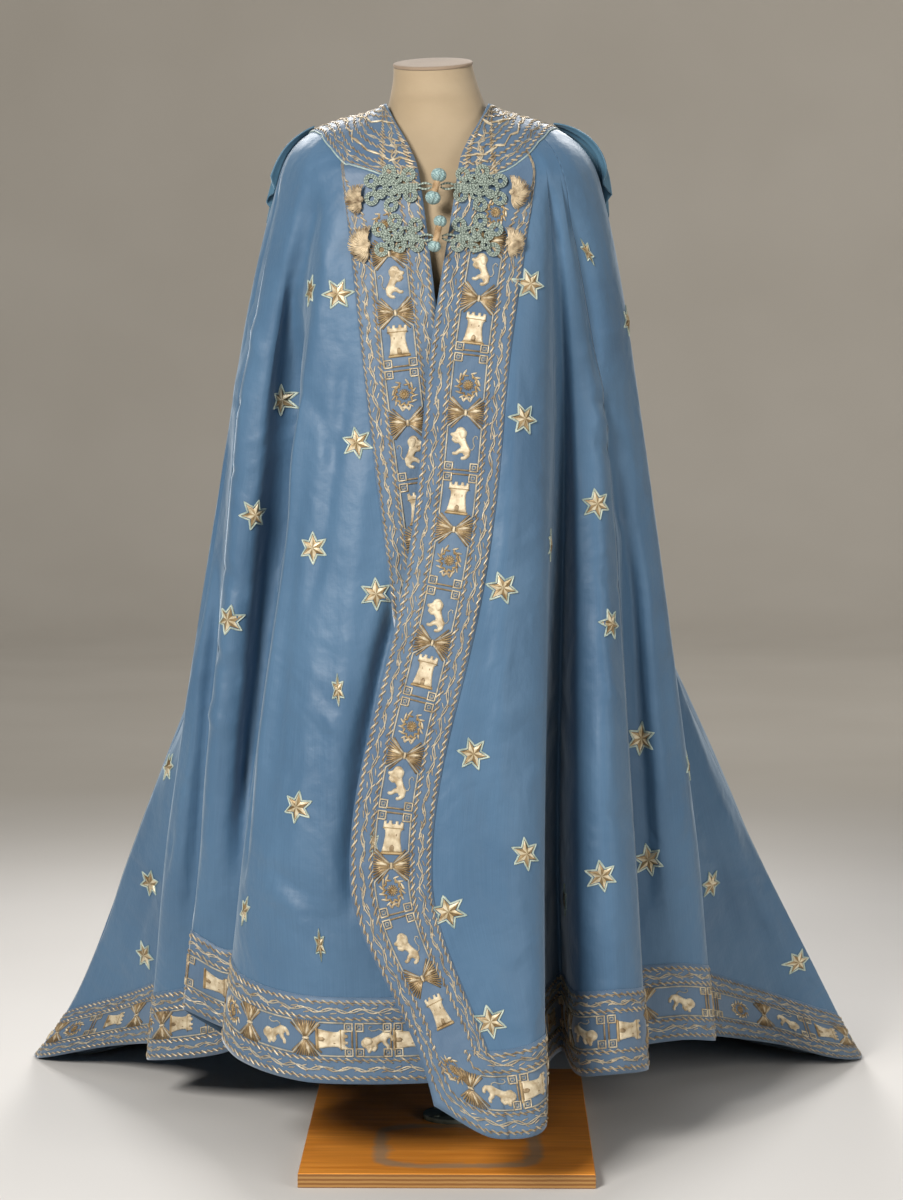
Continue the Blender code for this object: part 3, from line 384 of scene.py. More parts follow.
def crease_height(across, down, crease):
    """How far one crease lifts points whose places in its plane are across and down."""
    line = np.array(crease.line, float)
    reached = lengths(line)
    best = np.full(across.shape, 1e9)
    share = np.zeros(across.shape)
    for a, b, start in zip(line, line[1:], reached):
        way = b - a
        size = way @ way
        at = ((across - a[0]) * way[0] + (down - a[1]) * way[1]) / size
        at = np.clip(at, 0, 1)
        gap = np.hypot(across - a[0] - at * way[0], down - a[1] - at * way[1])
        nearer = gap < best
        best = np.where(nearer, gap, best)
        share = np.where(nearer, (start + at * math.sqrt(size)) / reached[-1], share)
    ends = np.clip(np.minimum(share, 1 - share) / 0.22, 0, 1)
    fade = ends * ends * (3 - 2 * ends)
    return crease.depth * MM * np.exp(-((best / crease.width) ** 2)) * fade


def crease_lift(rib, points, normals):
    """How far all creases together lift the cloth, along its normals."""
    lift = np.zeros(rib.shape)
    front = np.clip(-normals[..., 1] * 4, 0, 1)
    back = np.clip(normals[..., 1] * 3, 0, 1)
    for creases, facing, (across, down) in (
        (FRONT_CREASES, front, photo_place(points)),
        (BACK_CREASES, back, (points[..., 0] / MM, points[..., 2] / MM)),
    ):
        for crease in creases:
            inside = (rib >= crease.first) & (rib <= crease.last)
            height = crease_height(across[inside], down[inside], crease)
            lift[inside] += height * facing[inside]
    return lift


def draped(rib, along):
    """Points of the creased cloth's outer face in the shared frame."""
    rib = np.asarray(rib, float)
    points = cloth(rib, along)
    normals = outward(rib, along)
    points = points + normals * crease_lift(rib, points, normals)[..., None]
    points[..., 2] = np.maximum(points[..., 2], CLOTH_WALL)
    return points + AXIS


def grid_normals(points):
    """Unit normals of a grid of points, columns by rows."""
    normal = np.cross(np.gradient(points, axis=0), np.gradient(points, axis=1))
    return normal / np.maximum(np.linalg.norm(normal, axis=-1, keepdims=True), 1e-12)


def read_path(at, reached, path):
    """The points of a path at lengths along it."""
    return np.stack([np.interp(at, reached, path[:, k]) for k in range(3)], axis=1)


def read_table(table, i, j):
    """A grid of points read between its columns and rows."""
    i0 = np.clip(i.astype(int), 0, table.shape[0] - 2)
    j0 = np.clip(j.astype(int), 0, table.shape[1] - 2)
    a = (i - i0)[:, None]
    b = (j - j0)[:, None]
    low = table[i0, j0] * (1 - a) + table[i0 + 1, j0] * a
    high = table[i0, j0 + 1] * (1 - a) + table[i0 + 1, j0 + 1] * a
    return low * (1 - b) + high * b


class Chart:
    """A stretch of cloth as a table of points over flat places, in metres."""

    def __init__(self, xs, ys, ribs, alongs):
        self.xs = np.asarray(xs, float)
        self.ys = np.asarray(ys, float)
        self.points = draped(ribs, alongs)
        self.normals = grid_normals(self.points)
        self.mirrored = bool((self.normals * outward(ribs, alongs)).sum() < 0)
        if self.mirrored:
            self.normals = -self.normals

    def lay(self, flat):
        """Flat points (x, y, height) laid on the cloth."""
        flat = np.asarray(flat, float)
        i = np.interp(flat[:, 0], self.xs, np.arange(len(self.xs)))
        j = np.interp(flat[:, 1], self.ys, np.arange(len(self.ys)))
        normal = read_table(self.normals, i, j)
        normal /= np.linalg.norm(normal, axis=1, keepdims=True)
        return read_table(self.points, i, j) + normal * flat[:, 2:3]


SAMPLES = np.linspace(0, 1, PATH_SAMPLES)

# Each front: the ribs at its edge, at its band and at its seam, and its border's inner side.
Front = namedtuple("Front", "edge band seam reach")
LEFT, RIGHT = (
    Front(edge, band, seam, np.array([border_reach(edge, band, a) for a in SAMPLES]))
    for edge, band, seam in ((0, 1, LEFT_SEAM), (LAST, LAST - 1, RIGHT_SEAM))
)


def columns_between(first, last, step):
    """Columns from one rib to another, about a step apart at the shins and ankles."""
    columns = []
    for rib in range(first, last):
        ends = POINTS[rib : rib + 2]
        span = max(np.linalg.norm(ends[1, k] - ends[0, k]) for k in (4, 5))
        count = max(1, math.ceil(span / step))
        for i in range(count):
            columns.append(np.full(PATH_SAMPLES, rib + i / count))
    columns.append(np.full(PATH_SAMPLES, float(last)))
    return np.array(columns)


def border_columns(front, steps=BORDER_STEPS, count=BORDER_STEPS + 1):
    """The first columns across a front border from its edge, which is this many steps wide."""
    return np.array([front.edge + (front.reach - front.edge) * i / steps for i in range(count)])


def front_columns(front, step):
    """Columns of a front panel: its border first, then drawn in from there to the seam."""
    count = max(2, round(FRONT_BORDER / step))
    border = border_columns(front, count, count)
    ends = sorted((front.band, front.seam))
    share = (columns_between(*ends, step) - front.band) / (front.seam - front.band)
    body = front.reach + share * (front.seam - front.reach)
    if front is RIGHT:
        return np.concatenate([body, border[::-1]])
    return np.concatenate([border, body])


def columns_round(step, side_step):
    """Columns over all the cloth, from the left front edge round the back to the right one."""
    return np.concatenate(
        [
            front_columns(LEFT, step)[:-1],
            columns_between(LEFT_SEAM, RIGHT_SEAM, side_step)[:-1],
            front_columns(RIGHT, step),
        ]
    )


def ribs_at(columns, alongs):
    """The places between the ribs of points that lie along columns."""
    return np.array([np.interp(a, SAMPLES, c) for a, c in zip(alongs, columns)])


def measured(column):
    """A column's path, the lengths along it and how far the collar reaches down it."""
    path = cloth(column, SAMPLES)
    return path, lengths(path), collar_length(float(np.interp(column[0], PLACES, TURNS)))


def rows_down(columns, top_rows=TOP_ROWS, cloth_rows=CLOTH_ROWS, hem_rows=HEM_ROWS):
    """Places along each column: under the collar, down the cloth and over the hem border."""
    alongs = []
    for column in columns:
        _, reached, collar = measured(column)
        hem = reached[-1] - HEM_BORDER
        down = [collar * i / top_rows for i in range(top_rows)]
        down += [collar + (hem - collar) * i / cloth_rows for i in range(cloth_rows)]
        down += [hem + HEM_BORDER * i / hem_rows for i in range(hem_rows + 1)]
        alongs.append(np.interp(down, reached, SAMPLES))
    alongs = np.array(alongs)
    return ribs_at(columns, alongs), alongs


def front_chart(front):
    """A front border flat: x is in from its edge, y is down from the collar to the hem.

    Its rows lie square to its middle line. starts and ends are where the collar's edge and the
    hem border's top cross each column.
    """
    above, below, row = 56 * MM, 60 * MM, 9 * MM
    columns = border_columns(front)
    paths, reached, collars = zip(*(measured(column) for column in columns))
    middle = (BORDER_STEPS + 1) // 2
    down = reached[middle][-1] - HEM_BORDER - collars[middle]
    ys = np.arange(-above, down + below, row)
    at = collars[middle] + ys
    heart = read_path(at, reached[middle], paths[middle])
    way = np.gradient(heart, axis=0)
    guess = np.interp(at, reached[middle], SAMPLES)
    alongs = np.empty((len(columns), len(ys)))
    for i, path in enumerate(paths):
        for j in range(len(ys)):
            near = np.abs(SAMPLES - guess[j]) < 0.09
            alongs[i, j] = np.interp(0, (path[near] - heart[j]) @ way[j], SAMPLES[near])
    xs = np.linspace(0, FRONT_BORDER, len(columns))
    chart = Chart(xs, ys, ribs_at(columns, alongs), alongs)
    chart.starts = []
    chart.ends = []
    for i, length in enumerate(reached):
        first = np.interp(collars[i], length, SAMPLES)
        last = np.interp(length[-1] - HEM_BORDER, length, SAMPLES)
        chart.starts.append(float(np.interp(first, alongs[i], ys)))
        chart.ends.append(float(np.interp(last, alongs[i], ys)))
    return chart


def hem_chart():
    """The hem border flat: x from the left front round the back to the right, y up from the hem.

    x is 0 at the left front border's inner side. The corners under the fronts lie past the ends.
    """
    tables = rows_down(columns_round(CHART_STEP, CHART_STEP), 1, 1, HEM_CHART_ROWS)
    ribs, alongs = (table[:, :1:-1] for table in tables)
    middle = (HEM_CHART_ROWS + 1) // 2
    xs = lengths(cloth(ribs[:, middle], alongs[:, middle]))
    inner = round(FRONT_BORDER / CHART_STEP)
    ys = np.linspace(0, HEM_BORDER, HEM_CHART_ROWS + 1)
    chart = Chart(xs - xs[inner], ys, ribs, alongs)
    chart.length = chart.xs[-1 - inner]
    chart.ribs = ribs[:, middle]
    return chart


def collar_row_chart(distance, from_neck):
    """A stretch of the collar along its outer edge or its neck edge, at a distance from it.

    x is along the row and y is across it, towards the neck.
    """
    half = 14 * MM
    columns = columns_round(CHART_STEP, 4 * CHART_STEP)
    offsets = np.linspace(-half, half, 7)
    alongs = []
    for column in columns:
        _, reached, collar = measured(column)
        middle = distance if from_neck else collar - distance
        alongs.append(np.interp(middle - offsets, reached, SAMPLES))
    alongs = np.array(alongs)
    ribs = ribs_at(columns, alongs)
    return Chart(lengths(cloth(ribs[:, 3], alongs[:, 3])), offsets, ribs, alongs)


def collar_front_chart(front):
    """A collar's front edge: x is from its outer edge towards the neck, y is in from the edge."""
    columns = border_columns(front, count=8)
    up = 1 - np.arange(25) / 24
    alongs = []
    for column in columns:
        _, reached, collar = measured(column)
        alongs.append(np.interp(collar * up, reached, SAMPLES))
    alongs = np.array(alongs)
    ribs = ribs_at(columns, alongs)
    xs = lengths(cloth(ribs[2], alongs[2]))
    ys = np.arange(len(columns)) * FRONT_BORDER / BORDER_STEPS
    return Chart(xs, ys, ribs.T, alongs.T)


def set_inputs(tree, node, inputs):
    """Gives a node's inputs their values, or links them to other nodes' outputs."""
    for key, value in inputs.items():
        if isinstance(value, bpy.types.NodeSocket):
            tree.links.new(value, node.inputs[key])
        else:
            node.inputs[key].default_value = value


def add_node(tree, kind, inputs=None, **settings):
    """A new node's outputs."""
    node = tree.nodes.new(kind)
    for name, value in settings.items():
        setattr(node, name, value)
    set_inputs(tree, node, inputs or {})
    return node.outputs


def maths(tree, operation, *values):
    """A sum of numbers and other nodes' outputs."""
    return add_node(tree, "ShaderNodeMath", dict(enumerate(values)), operation=operation)[0]


def noise(tree, place, inputs):
    """Noise at a place."""
    return add_node(tree, "ShaderNodeTexNoise", {"Vector": place, **inputs})["Fac"]


def bands(tree, place, direction, inputs):
    """Soft bands across one direction, as a colour and as a height."""
    inputs = {"Vector": place, **inputs}
    return add_node(tree, "ShaderNodeTexWave", inputs, bands_direction=direction)


def mapped(tree, place, **inputs):
    """A place moved, turned or stretched."""
    return add_node(tree, "ShaderNodeMapping", {"Vector": place, **inputs})["Vector"]


def bump(tree, height, strength, distance, under=None):
    """The normals of a fine relief, on top of another one if there is one."""
    inputs = {"Height": height, "Strength": strength, "Distance": distance}
    if under:
        inputs["Normal"] = under
    return add_node(tree, "ShaderNodeBump", inputs)["Normal"]


def mixed(tree, share, first, second, way="MIX"):
    """Two colours mixed."""
    inputs = {"Factor": share, "A": first, "B": second}
    return add_node(tree, "ShaderNodeMix", inputs, data_type="RGBA", blend_type=way)["Result"]


def new_material(name):
    """A material, its tree, its shader and the ways to place a pattern on a piece."""
    made = bpy.data.materials.new(name)
    made.use_nodes = True
    tree = made.node_tree
    return made, tree, tree.nodes["Principled BSDF"], add_node(tree, "ShaderNodeTexCoord")


def ramp(tree, share, *stops):
    """The colours of a ramp through (place, (r, g, b)) stops."""
    made = tree.nodes.new("ShaderNodeValToRGB")
    elements = made.color_ramp.elements
    for number, (place, colour) in enumerate(stops):
        element = elements[number] if number < 2 else elements.new(place)
        element.position = place
        element.color = (*colour, 1)
    set_inputs(tree, made, {"Fac": share})
    return made.outputs["Color"]


def silk_material(name, dark, light, roughness, sheen_tint):
    """Satin-woven silk: long soft streaks of the warp, faint slubs and fine crinkles."""
    made, tree, shader, place = new_material(name)
    warp = mapped(tree, place["UV"], Scale=(900, 12, 1))
    streaks = noise(tree, warp, {"Scale": 1.0, "Detail": 3})
    clouds = noise(tree, place["Object"], {"Scale": 5, "Detail": 4})
    tone = maths(tree, "MULTIPLY_ADD", streaks, 0.35, maths(tree, "MULTIPLY", clouds, 0.65))
    crinkle = noise(tree, place["Object"], {"Scale": 22, "Detail": 5, "Roughness": 0.45})
    rumple = noise(tree, place["Object"], {"Scale": 7, "Detail": 2, "Distortion": 1.1})
    relief = bump(tree, rumple, 0.28, 0.026)
    relief = bump(tree, crinkle, 0.5, 0.008, relief)
    relief = bump(tree, streaks, 0.2, 0.0003, relief)
    look = {
        "Base Color": ramp(tree, tone, (0.3, dark), (0.7, light)),
        "Normal": relief,
        "Roughness": roughness,
        "Specular IOR Level": 0.38,
        "Sheen Weight": 0.5,
        "Sheen Roughness": 0.4,
        "Sheen Tint": (*sheen_tint, 1),
    }
    set_inputs(tree, shader, look)
    return made


def make_piece(name, points, faces, materials, uv=None):
    """A smooth-shaded piece at the origin, with a flat place for each point as its UV map."""
    mesh = bpy.data.meshes.new(name)
    mesh.from_pydata(np.asarray(points, float).tolist(), [], faces)
    for material in materials:
        mesh.materials.append(material)
    if uv is not None:
        layer = mesh.uv_layers.new(name="flat")
        corner = np.zeros(len(mesh.loops), dtype=np.int32)
        mesh.loops.foreach_get("vertex_index", corner)
        layer.data.foreach_set("uv", np.asarray(uv, float)[corner].ravel())
    mesh.shade_smooth()
    made = bpy.data.objects.new(name, mesh)
    bpy.context.scene.collection.objects.link(made)
    return made


def cloth_piece(name, points, normals, low, high, material, uv):
    """A closed sheet over a grid of points, between two heights over it."""
    columns, rows = points.shape[:2]
    outer = points + normals * high
    inner = points + normals * low
    for face, height in ((outer, high), (inner, low)):
        face[..., 2] = np.maximum(face[..., 2], CLOTH_WALL + height)
    under = columns * rows
    i, j = np.meshgrid(np.arange(columns - 1), np.arange(rows - 1), indexing="ij")
    a = (i * rows + j).ravel()
    quads = np.stack([a, a + rows, a + rows + 1, a + 1], axis=1)
    rim = [(i, 0) for i in range(columns)]
    rim += [(columns - 1, j) for j in range(1, rows)]
    rim += [(i, rows - 1) for i in range(columns - 2, -1, -1)]
    rim += [(0, j) for j in range(rows - 2, 0, -1)]
    rim = np.array([i * rows + j for i, j in rim])
    ahead = np.roll(rim, -1)
    sides = np.stack([ahead, rim, rim + under, ahead + under], axis=1)
    faces = np.concatenate([quads, quads[:, ::-1] + under, sides])
    both = np.concatenate([outer.reshape(-1, 3), inner.reshape(-1, 3)])
    flat = uv.reshape(-1, 2)
    return make_piece(name, both, faces.tolist(), [material], np.concatenate([flat, flat]))


def flat_uv(points):
    """A flat place for each point of a grid, from its lengths across and down."""
    across = np.linalg.norm(np.diff(points, axis=0), axis=-1)
    across = np.concatenate([np.zeros((1, points.shape[1])), np.cumsum(across, axis=0)])
    down = np.linalg.norm(np.diff(points, axis=1), axis=-1)
    down = np.concatenate([np.zeros((points.shape[0], 1)), np.cumsum(down, axis=1)], axis=1)
    middle = across[:, points.shape[1] * 2 // 3]
    return np.stack([np.repeat(middle[:, None], points.shape[1], axis=1), down], axis=-1)


SILK = silk_material("silk", (0.046, 0.106, 0.19), (0.076, 0.155, 0.255), 0.5, (0.75, 0.88, 1.0))
BORDER_SILK = silk_material(
    "border_silk", (0.062, 0.112, 0.19), (0.102, 0.165, 0.245), 0.5, (0.85, 0.9, 0.95)
)
HOOD_SILK = silk_material(
    "hood_silk", (0.042, 0.112, 0.175), (0.078, 0.17, 0.245), 0.46, (0.7, 0.85, 1.0)
)
PANELS = {}


def dress(made, node=None):
    """Puts a piece on the mantle's one body, in place of a solid if one is named."""
    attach(made, "root")
    if node:
        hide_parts(node)


def sheet_piece(name, node, points, low, high, material):
    """A sheet of cloth over a grid of points, with its flat size. Gives the points' normals."""
    normals = grid_normals(points)
    uv = flat_uv(points)
    made = cloth_piece(name, points, normals, low, high, material, uv)
    dress(made, node)
    return normals


def make_panels():
    """The seven breadths of silk, each its own sheet."""
    for name, columns in (
        ("front_left", front_columns(LEFT, STEP)),
        ("side_left", columns_between(LEFT_SEAM, LEFT_CORNER, STEP)),
        ("back_left", columns_between(LEFT_CORNER, BACK_LEFT_SEAM, BACK_STEP)),
        ("back_middle", columns_between(BACK_LEFT_SEAM, BACK_RIGHT_SEAM, BACK_STEP)),
        ("back_right", columns_between(BACK_RIGHT_SEAM, RIGHT_CORNER, BACK_STEP)),
        ("side_right", columns_between(RIGHT_CORNER, RIGHT_SEAM, STEP)),
        ("front_right", front_columns(RIGHT, STEP)),
    ):
        points = draped(*rows_down(columns))
        normals = sheet_piece(
            name + "_silk", name, points, -CLOTH_WALL, 0, SILK
        )
        PANELS[name] = (points, normals)


def make_grounds():
    """The silk grounds of the front, hem and collar borders."""
    grounds = []
    for name, front in (("left", LEFT), ("right", RIGHT)):
        columns = border_columns(front)
        rows = rows_down(columns if front is LEFT else columns[::-1])
        rows = [table[:, TOP_ROWS:] for table in rows]
        grounds.append((f"front_band_{name}", f"front_border_{name}", rows, GROUND_HIGH))
    across = round(FRONT_BORDER / STEP)
    for name, columns in (
        ("front_left", front_columns(LEFT, STEP)[across:]),
        ("side_left", columns_between(LEFT_SEAM, LEFT_CORNER, STEP)),
        ("back", columns_between(LEFT_CORNER, RIGHT_CORNER, STEP)),
        ("side_right", columns_between(RIGHT_CORNER, RIGHT_SEAM, STEP)),
        ("front_right", front_columns(RIGHT, STEP)[:-across]),
    ):
        rows = [table[:, TOP_ROWS + CLOTH_ROWS :] for table in rows_down(columns)]
        grounds.append((f"hem_band_{name}", f"hem_border_{name}", rows, GROUND_HIGH))
    rows = rows_down(columns_round(STEP, 4 * STEP), COLLAR_ROWS)
    rows = [table[:, : COLLAR_ROWS + 1] for table in rows]
    grounds.append(("collar_silk", "collar", rows, COLLAR_GROUND))
    for name, node, (ribs, alongs), high in grounds:
        points = draped(ribs, alongs)
        sheet_piece(
            name, node, points, GROUND_LOW, high, BORDER_SILK
        )


def ring_quads(first, rings, sides, flipped=False):
    """The faces between rings of points, the first point of which is numbered first."""
    faces = []
    for ring in range(rings - 1):
        for i in range(sides):
            a = first + ring * sides + i
            b = first + ring * sides + (i + 1) % sides
            faces.append((a, a + sides, b + sides, b) if flipped else (a, b, b + sides, a + sides))
    return faces


def ring_faces(first, rings, sides, flipped=False):
    """The faces of a tube of rings, with those over its ends."""
    last = first + (rings - 1) * sides
    ends = [tuple(range(first + sides - 1, first - 1, -1)), tuple(range(last, last + sides))]
    if flipped:
        ends = [end[::-1] for end in ends]
    return ring_quads(first, rings, sides, flipped) + ends


def around(sides):
    """The angles of the points round a ring."""
    return [2 * math.pi * i / sides for i in range(sides)]


def strand_mesh(name, length, width, height, bend):
    """A spindle of laid thread along X: fat in the middle, bent a little like an S."""
    sides = 5
    sections = ((-0.5, 0.12), (-0.34, 0.72), (0.0, 1.0), (0.34, 0.72), (0.5, 0.12))
    points = []
    lie = []
    for share, fat in sections:
        for i, turn in enumerate(around(sides)):
            angle = turn - math.pi / 2
            across = bend * math.sin(2 * math.pi * share) + fat * width / 2 * math.cos(angle)
            rise = fat * height / 2 * math.sin(angle) + height * 0.3
            points.append((share * length, across, rise))
            lie.append((width * 1.6 * i / sides, share * length, 0.0))
    made = bpy.data.objects.new(name, bpy.data.meshes.new(name))
    made.data.from_pydata(points, [], ring_faces(0, len(sections), sides, True))
    store = made.data.attributes.new("lie", "FLOAT_VECTOR", "POINT")
    store.data.foreach_set("vector", np.array(lie).ravel())
    return made


def tree_with(name, inputs):
    """A Geometry Nodes tree, what it is given and the curves of the paths that it is given."""
    tree = bpy.data.node_groups.new(name, "GeometryNodeTree")
    tree.interface.new_socket("Geometry", in_out="INPUT", socket_type="NodeSocketGeometry")
    for label, kind in inputs.items():
        tree.interface.new_socket(label, in_out="INPUT", socket_type="NodeSocket" + kind)
    tree.interface.new_socket("Geometry", in_out="OUTPUT", socket_type="NodeSocketGeometry")
    given = add_node(tree, "NodeGroupInput")
    curve = add_node(tree, "GeometryNodeMeshToCurve", {"Mesh": given["Geometry"]})["Curve"]
    return tree, given, curve


def strand_row_tree():
    """Strands laid one after another along paths, each slanted across its path."""
    inputs = {
        "Strand": "Object",
        "Pitch": "Float",
        "Tilt": "Float",
        "Alternate": "Float",
        "Sway": "Float",
        "Seed": "Int",
    }
    tree, given, curve = tree_with("strand_row", inputs)

    def chance(low, high):
        limits = {2: low, 3: high, "Seed": given["Seed"]}
        return add_node(tree, "FunctionNodeRandomValue", limits, data_type="FLOAT")[1]

    curve = {"Curve": curve, "Length": given["Pitch"]}
    stops = add_node(tree, "GeometryNodeResampleCurve", curve, mode="LENGTH")["Curve"]
    strand = add_node(tree, "GeometryNodeObjectInfo", {"Object": given["Strand"]})["Geometry"]
    tangent = add_node(tree, "GeometryNodeInputTangent")[0]
    along = add_node(
        tree, "FunctionNodeAlignRotationToVector", {"Vector": tangent}, axis="X", pivot_axis="Z"
    )
    odd = maths(tree, "MODULO", add_node(tree, "GeometryNodeInputIndex")[0], 2)
    turned = maths(tree, "MULTIPLY", odd, given["Alternate"])
    sign = maths(tree, "MULTIPLY_ADD", turned, -2, 1)
    tilt = maths(tree, "MULTIPLY", sign, given["Tilt"])
    angle = maths(tree, "MULTIPLY_ADD", chance(-1, 1), given["Sway"], tilt)
    turn = add_node(tree, "ShaderNodeCombineXYZ", {"Z": angle})[0]
    euler = add_node(tree, "FunctionNodeEulerToRotation", {0: turn})[0]
    turns = {0: along[0], 1: euler}
    rotated = add_node(tree, "FunctionNodeRotateRotation", turns, rotation_space="LOCAL")[0]
    laid = {"Points": stops, "Instance": strand, "Rotation": rotated, "Scale": chance(0.88, 1.1)}
    laid = add_node(tree, "GeometryNodeInstanceOnPoints", laid)["Instances"]
    real = add_node(tree, "GeometryNodeRealizeInstances", {"Geometry": laid})["Geometry"]
    add_node(tree, "NodeGroupOutput", {"Geometry": real})
    return tree


def cord_tree():
    """A round cord along each path, with places along and round it kept for its threads."""
    tree, given, curve = tree_with("couched_cord", {"Radius": "Float", "Sides": "Int"})
    circle = {"Resolution": given["Sides"], "Radius": given["Radius"]}
    profile = add_node(tree, "GeometryNodeCurvePrimitiveCircle", circle)["Curve"]
    kept = []
    for name, source in (("along", curve), ("round", profile)):
        length = add_node(tree, "GeometryNodeSplineParameter")["Length"]
        stored = {"Name": name, "Geometry": source, "Value": length}
        kept.append(
            add_node(
                tree, "GeometryNodeStoreNamedAttribute", stored, data_type="FLOAT", domain="POINT"
            )["Geometry"]
        )
    swept = {"Curve": kept[0], "Profile Curve": kept[1], "Fill Caps": True}
    swept = add_node(tree, "GeometryNodeCurveToMesh", swept)["Mesh"]
    add_node(tree, "NodeGroupOutput", {"Geometry": swept})
    return tree


def grown(tree, paths, values, closed=False):
    """The mesh that a tree makes from paths: its points, faces and places of its threads."""
    points = []
    edges = []
    for path in paths:
        first = len(points)
        points += [tuple(map(float, p)) for p in path]
        edges += [(first + i, first + i + 1) for i in range(len(path) - 1)]
        if closed:
            edges.append((len(points) - 1, first))
    mesh = bpy.data.meshes.new("paths")
    mesh.from_pydata(points, edges, [])
    holder = bpy.data.objects.new("paths", mesh)
    bpy.context.scene.collection.objects.link(holder)
    worked = holder.modifiers.new("work", "NODES")
    worked.node_group = tree
    for item in tree.interface.items_tree:
        if item.in_out == "INPUT" and item.name in values:
            worked[item.identifier] = values[item.name]
    depsgraph = bpy.context.evaluated_depsgraph_get()
    made = bpy.data.meshes.new_from_object(holder.evaluated_get(depsgraph), depsgraph=depsgraph)
    count = len(made.vertices)
    places = np.zeros(count * 3)
    made.vertices.foreach_get("co", places)
    lie = np.zeros((count, 2))
    if "lie" in made.attributes:
        kept = np.zeros(count * 3)
        made.attributes["lie"].data.foreach_get("vector", kept)
        lie = kept.reshape(-1, 3)[:, :2]
    for column, name in enumerate(("round", "along")):
        if name in made.attributes:
            kept = np.zeros(count)
            made.attributes[name].data.foreach_get("value", kept)
            lie[:, column] = kept
    faces = [tuple(f.vertices) for f in made.polygons]
    bpy.data.objects.remove(holder)
    bpy.data.meshes.remove(made)
    return places.reshape(-1, 3), faces, lie


def outline_distance(places, outline):
    """How far places are from a closed outline, negative inside it."""
    outline = np.asarray(outline, float)
    best = np.full(len(places), 1e9)
    inside = np.zeros(len(places), bool)
    for a, b in zip(outline, np.roll(outline, -1, axis=0)):
        way = b - a
        at = np.clip(((places - a) @ way) / max(way @ way, 1e-18), 0, 1)
        gap = np.linalg.norm(places - a - at[:, None] * way, axis=1)
        best = np.minimum(best, gap)
        crosses = (a[1] > places[:, 1]) != (b[1] > places[:, 1])
        rise = b[1] - a[1] if b[1] != a[1] else 1e-18
        inside ^= crosses & (places[:, 0] < a[0] + (places[:, 1] - a[1]) * way[0] / rise)
    return np.where(inside, -best, best)


def limb_distance(places, limb):
    """How far places are from a limb: a line of (x, y, radius) stations."""
    best = np.full(len(places), 1e9)
    for (ax, ay, ar), (bx, by, br) in zip(limb, limb[1:]):
        a = np.array((ax, ay))
        way = np.array((bx, by)) - a
        at = np.clip(((places - a) @ way) / max(way @ way, 1e-18), 0, 1)
        gap = np.linalg.norm(places - a - at[:, None] * way, axis=1) - (ar + at * (br - ar))
        best = np.minimum(best, gap)
    return best


def padded_patch(shapes, size, step, height, edge, sunk=0.5):
    """A padded patch over the union of outlines and limbs, in millimetres, rounded at its edge."""
    half = np.asarray(size, float)
    xs = np.arange(-half[0], half[0] + step, step)
    ys = np.arange(-half[1], half[1] + step, step)
    grid = np.stack(np.meshgrid(xs, ys, indexing="ij"), axis=-1).reshape(-1, 2)

    def distance(places):
        best = np.full(len(places), 1e9)
        for shape in shapes:
            measure = limb_distance if len(shape[0]) == 3 else outline_distance
            best = np.minimum(best, measure(places, shape))
        return best

    found = distance(grid)
    rows = len(ys)
    i, j = np.meshgrid(np.arange(len(xs) - 1), np.arange(rows - 1), indexing="ij")
    a = (i * rows + j).ravel()
    quads = np.stack([a, a + rows, a + rows + 1, a + 1], axis=1)
    near = (found[quads] < 0).any(axis=1)
    quads = quads[near]
    used = np.unique(quads)
    number = np.full(len(grid), -1)
    number[used] = np.arange(len(used))
    quads = number[quads]
    places = grid[used]
    gap = found[used]
    nudge = step * 0.1
    for _ in range(2):
        here = distance(places)
        slope_x = distance(places + (nudge, 0)) - distance(places - (nudge, 0))
        slope_y = distance(places + (0, nudge)) - distance(places - (0, nudge))
        slope = np.stack([slope_x, slope_y], axis=1) / (2 * nudge)
        outside = gap >= 0
        places = np.where(outside[:, None], places - here[:, None] * slope, places)
    depth = np.clip(-distance(places) / edge, 0, 1)
    depth[gap >= 0] = 0
    crown = np.sqrt(1 - (1 - depth) ** 2)
    raised = crown * (height + sunk) - sunk
    points = np.column_stack([places, raised]) * MM
    return points, quads.tolist(), places * MM


class Needlework:
    """Stitches and patches of one border, drawn flat and then laid on its chart."""

    def __init__(self, chart, base):
        self.chart = chart
        self.base = base
        self.points = []
        self.faces = []
        self.kinds = []
        self.lie = []
        self.count = 0

    def add(self, made, kind, matrix=None):
        """Adds (points, faces, places of the threads), moved by a flat 2 x 3 matrix if given."""
        points, faces, lie = made
        points = np.array(points, float)
        faces = [tuple(int(i) for i in f) for f in faces]
        if matrix is not None:
            points[:, :2] = points[:, :2] @ matrix[:, :2].T + matrix[:, 2]
            if np.linalg.det(matrix[:, :2]) < 0:
                faces = [f[::-1] for f in faces]
        self.points.append(points)
        self.lie.append(np.asarray(lie)[:, :2])
        self.faces += [tuple(self.count + i for i in f) for f in faces]
        self.kinds += [kind] * len(faces)
        self.count += len(points)

    def laid(self):
        """Points on the cloth, faces, their kinds and the places of the threads."""
        flat = np.concatenate(self.points)
        flat[:, 2] += self.base
        laid = self.chart.lay(flat)
        laid[:, 2] = np.maximum(laid[:, 2], CLOTH_WALL + 0.3 * MM)
        faces = self.faces
        if self.chart.mirrored:
            faces = [f[::-1] for f in faces]
        return laid, faces, self.kinds, np.concatenate(self.lie)


def part_of(points, faces, lie, kind=0):
    """A part for joined_piece that is all of one material."""
    return points, faces, [kind] * len(faces), lie


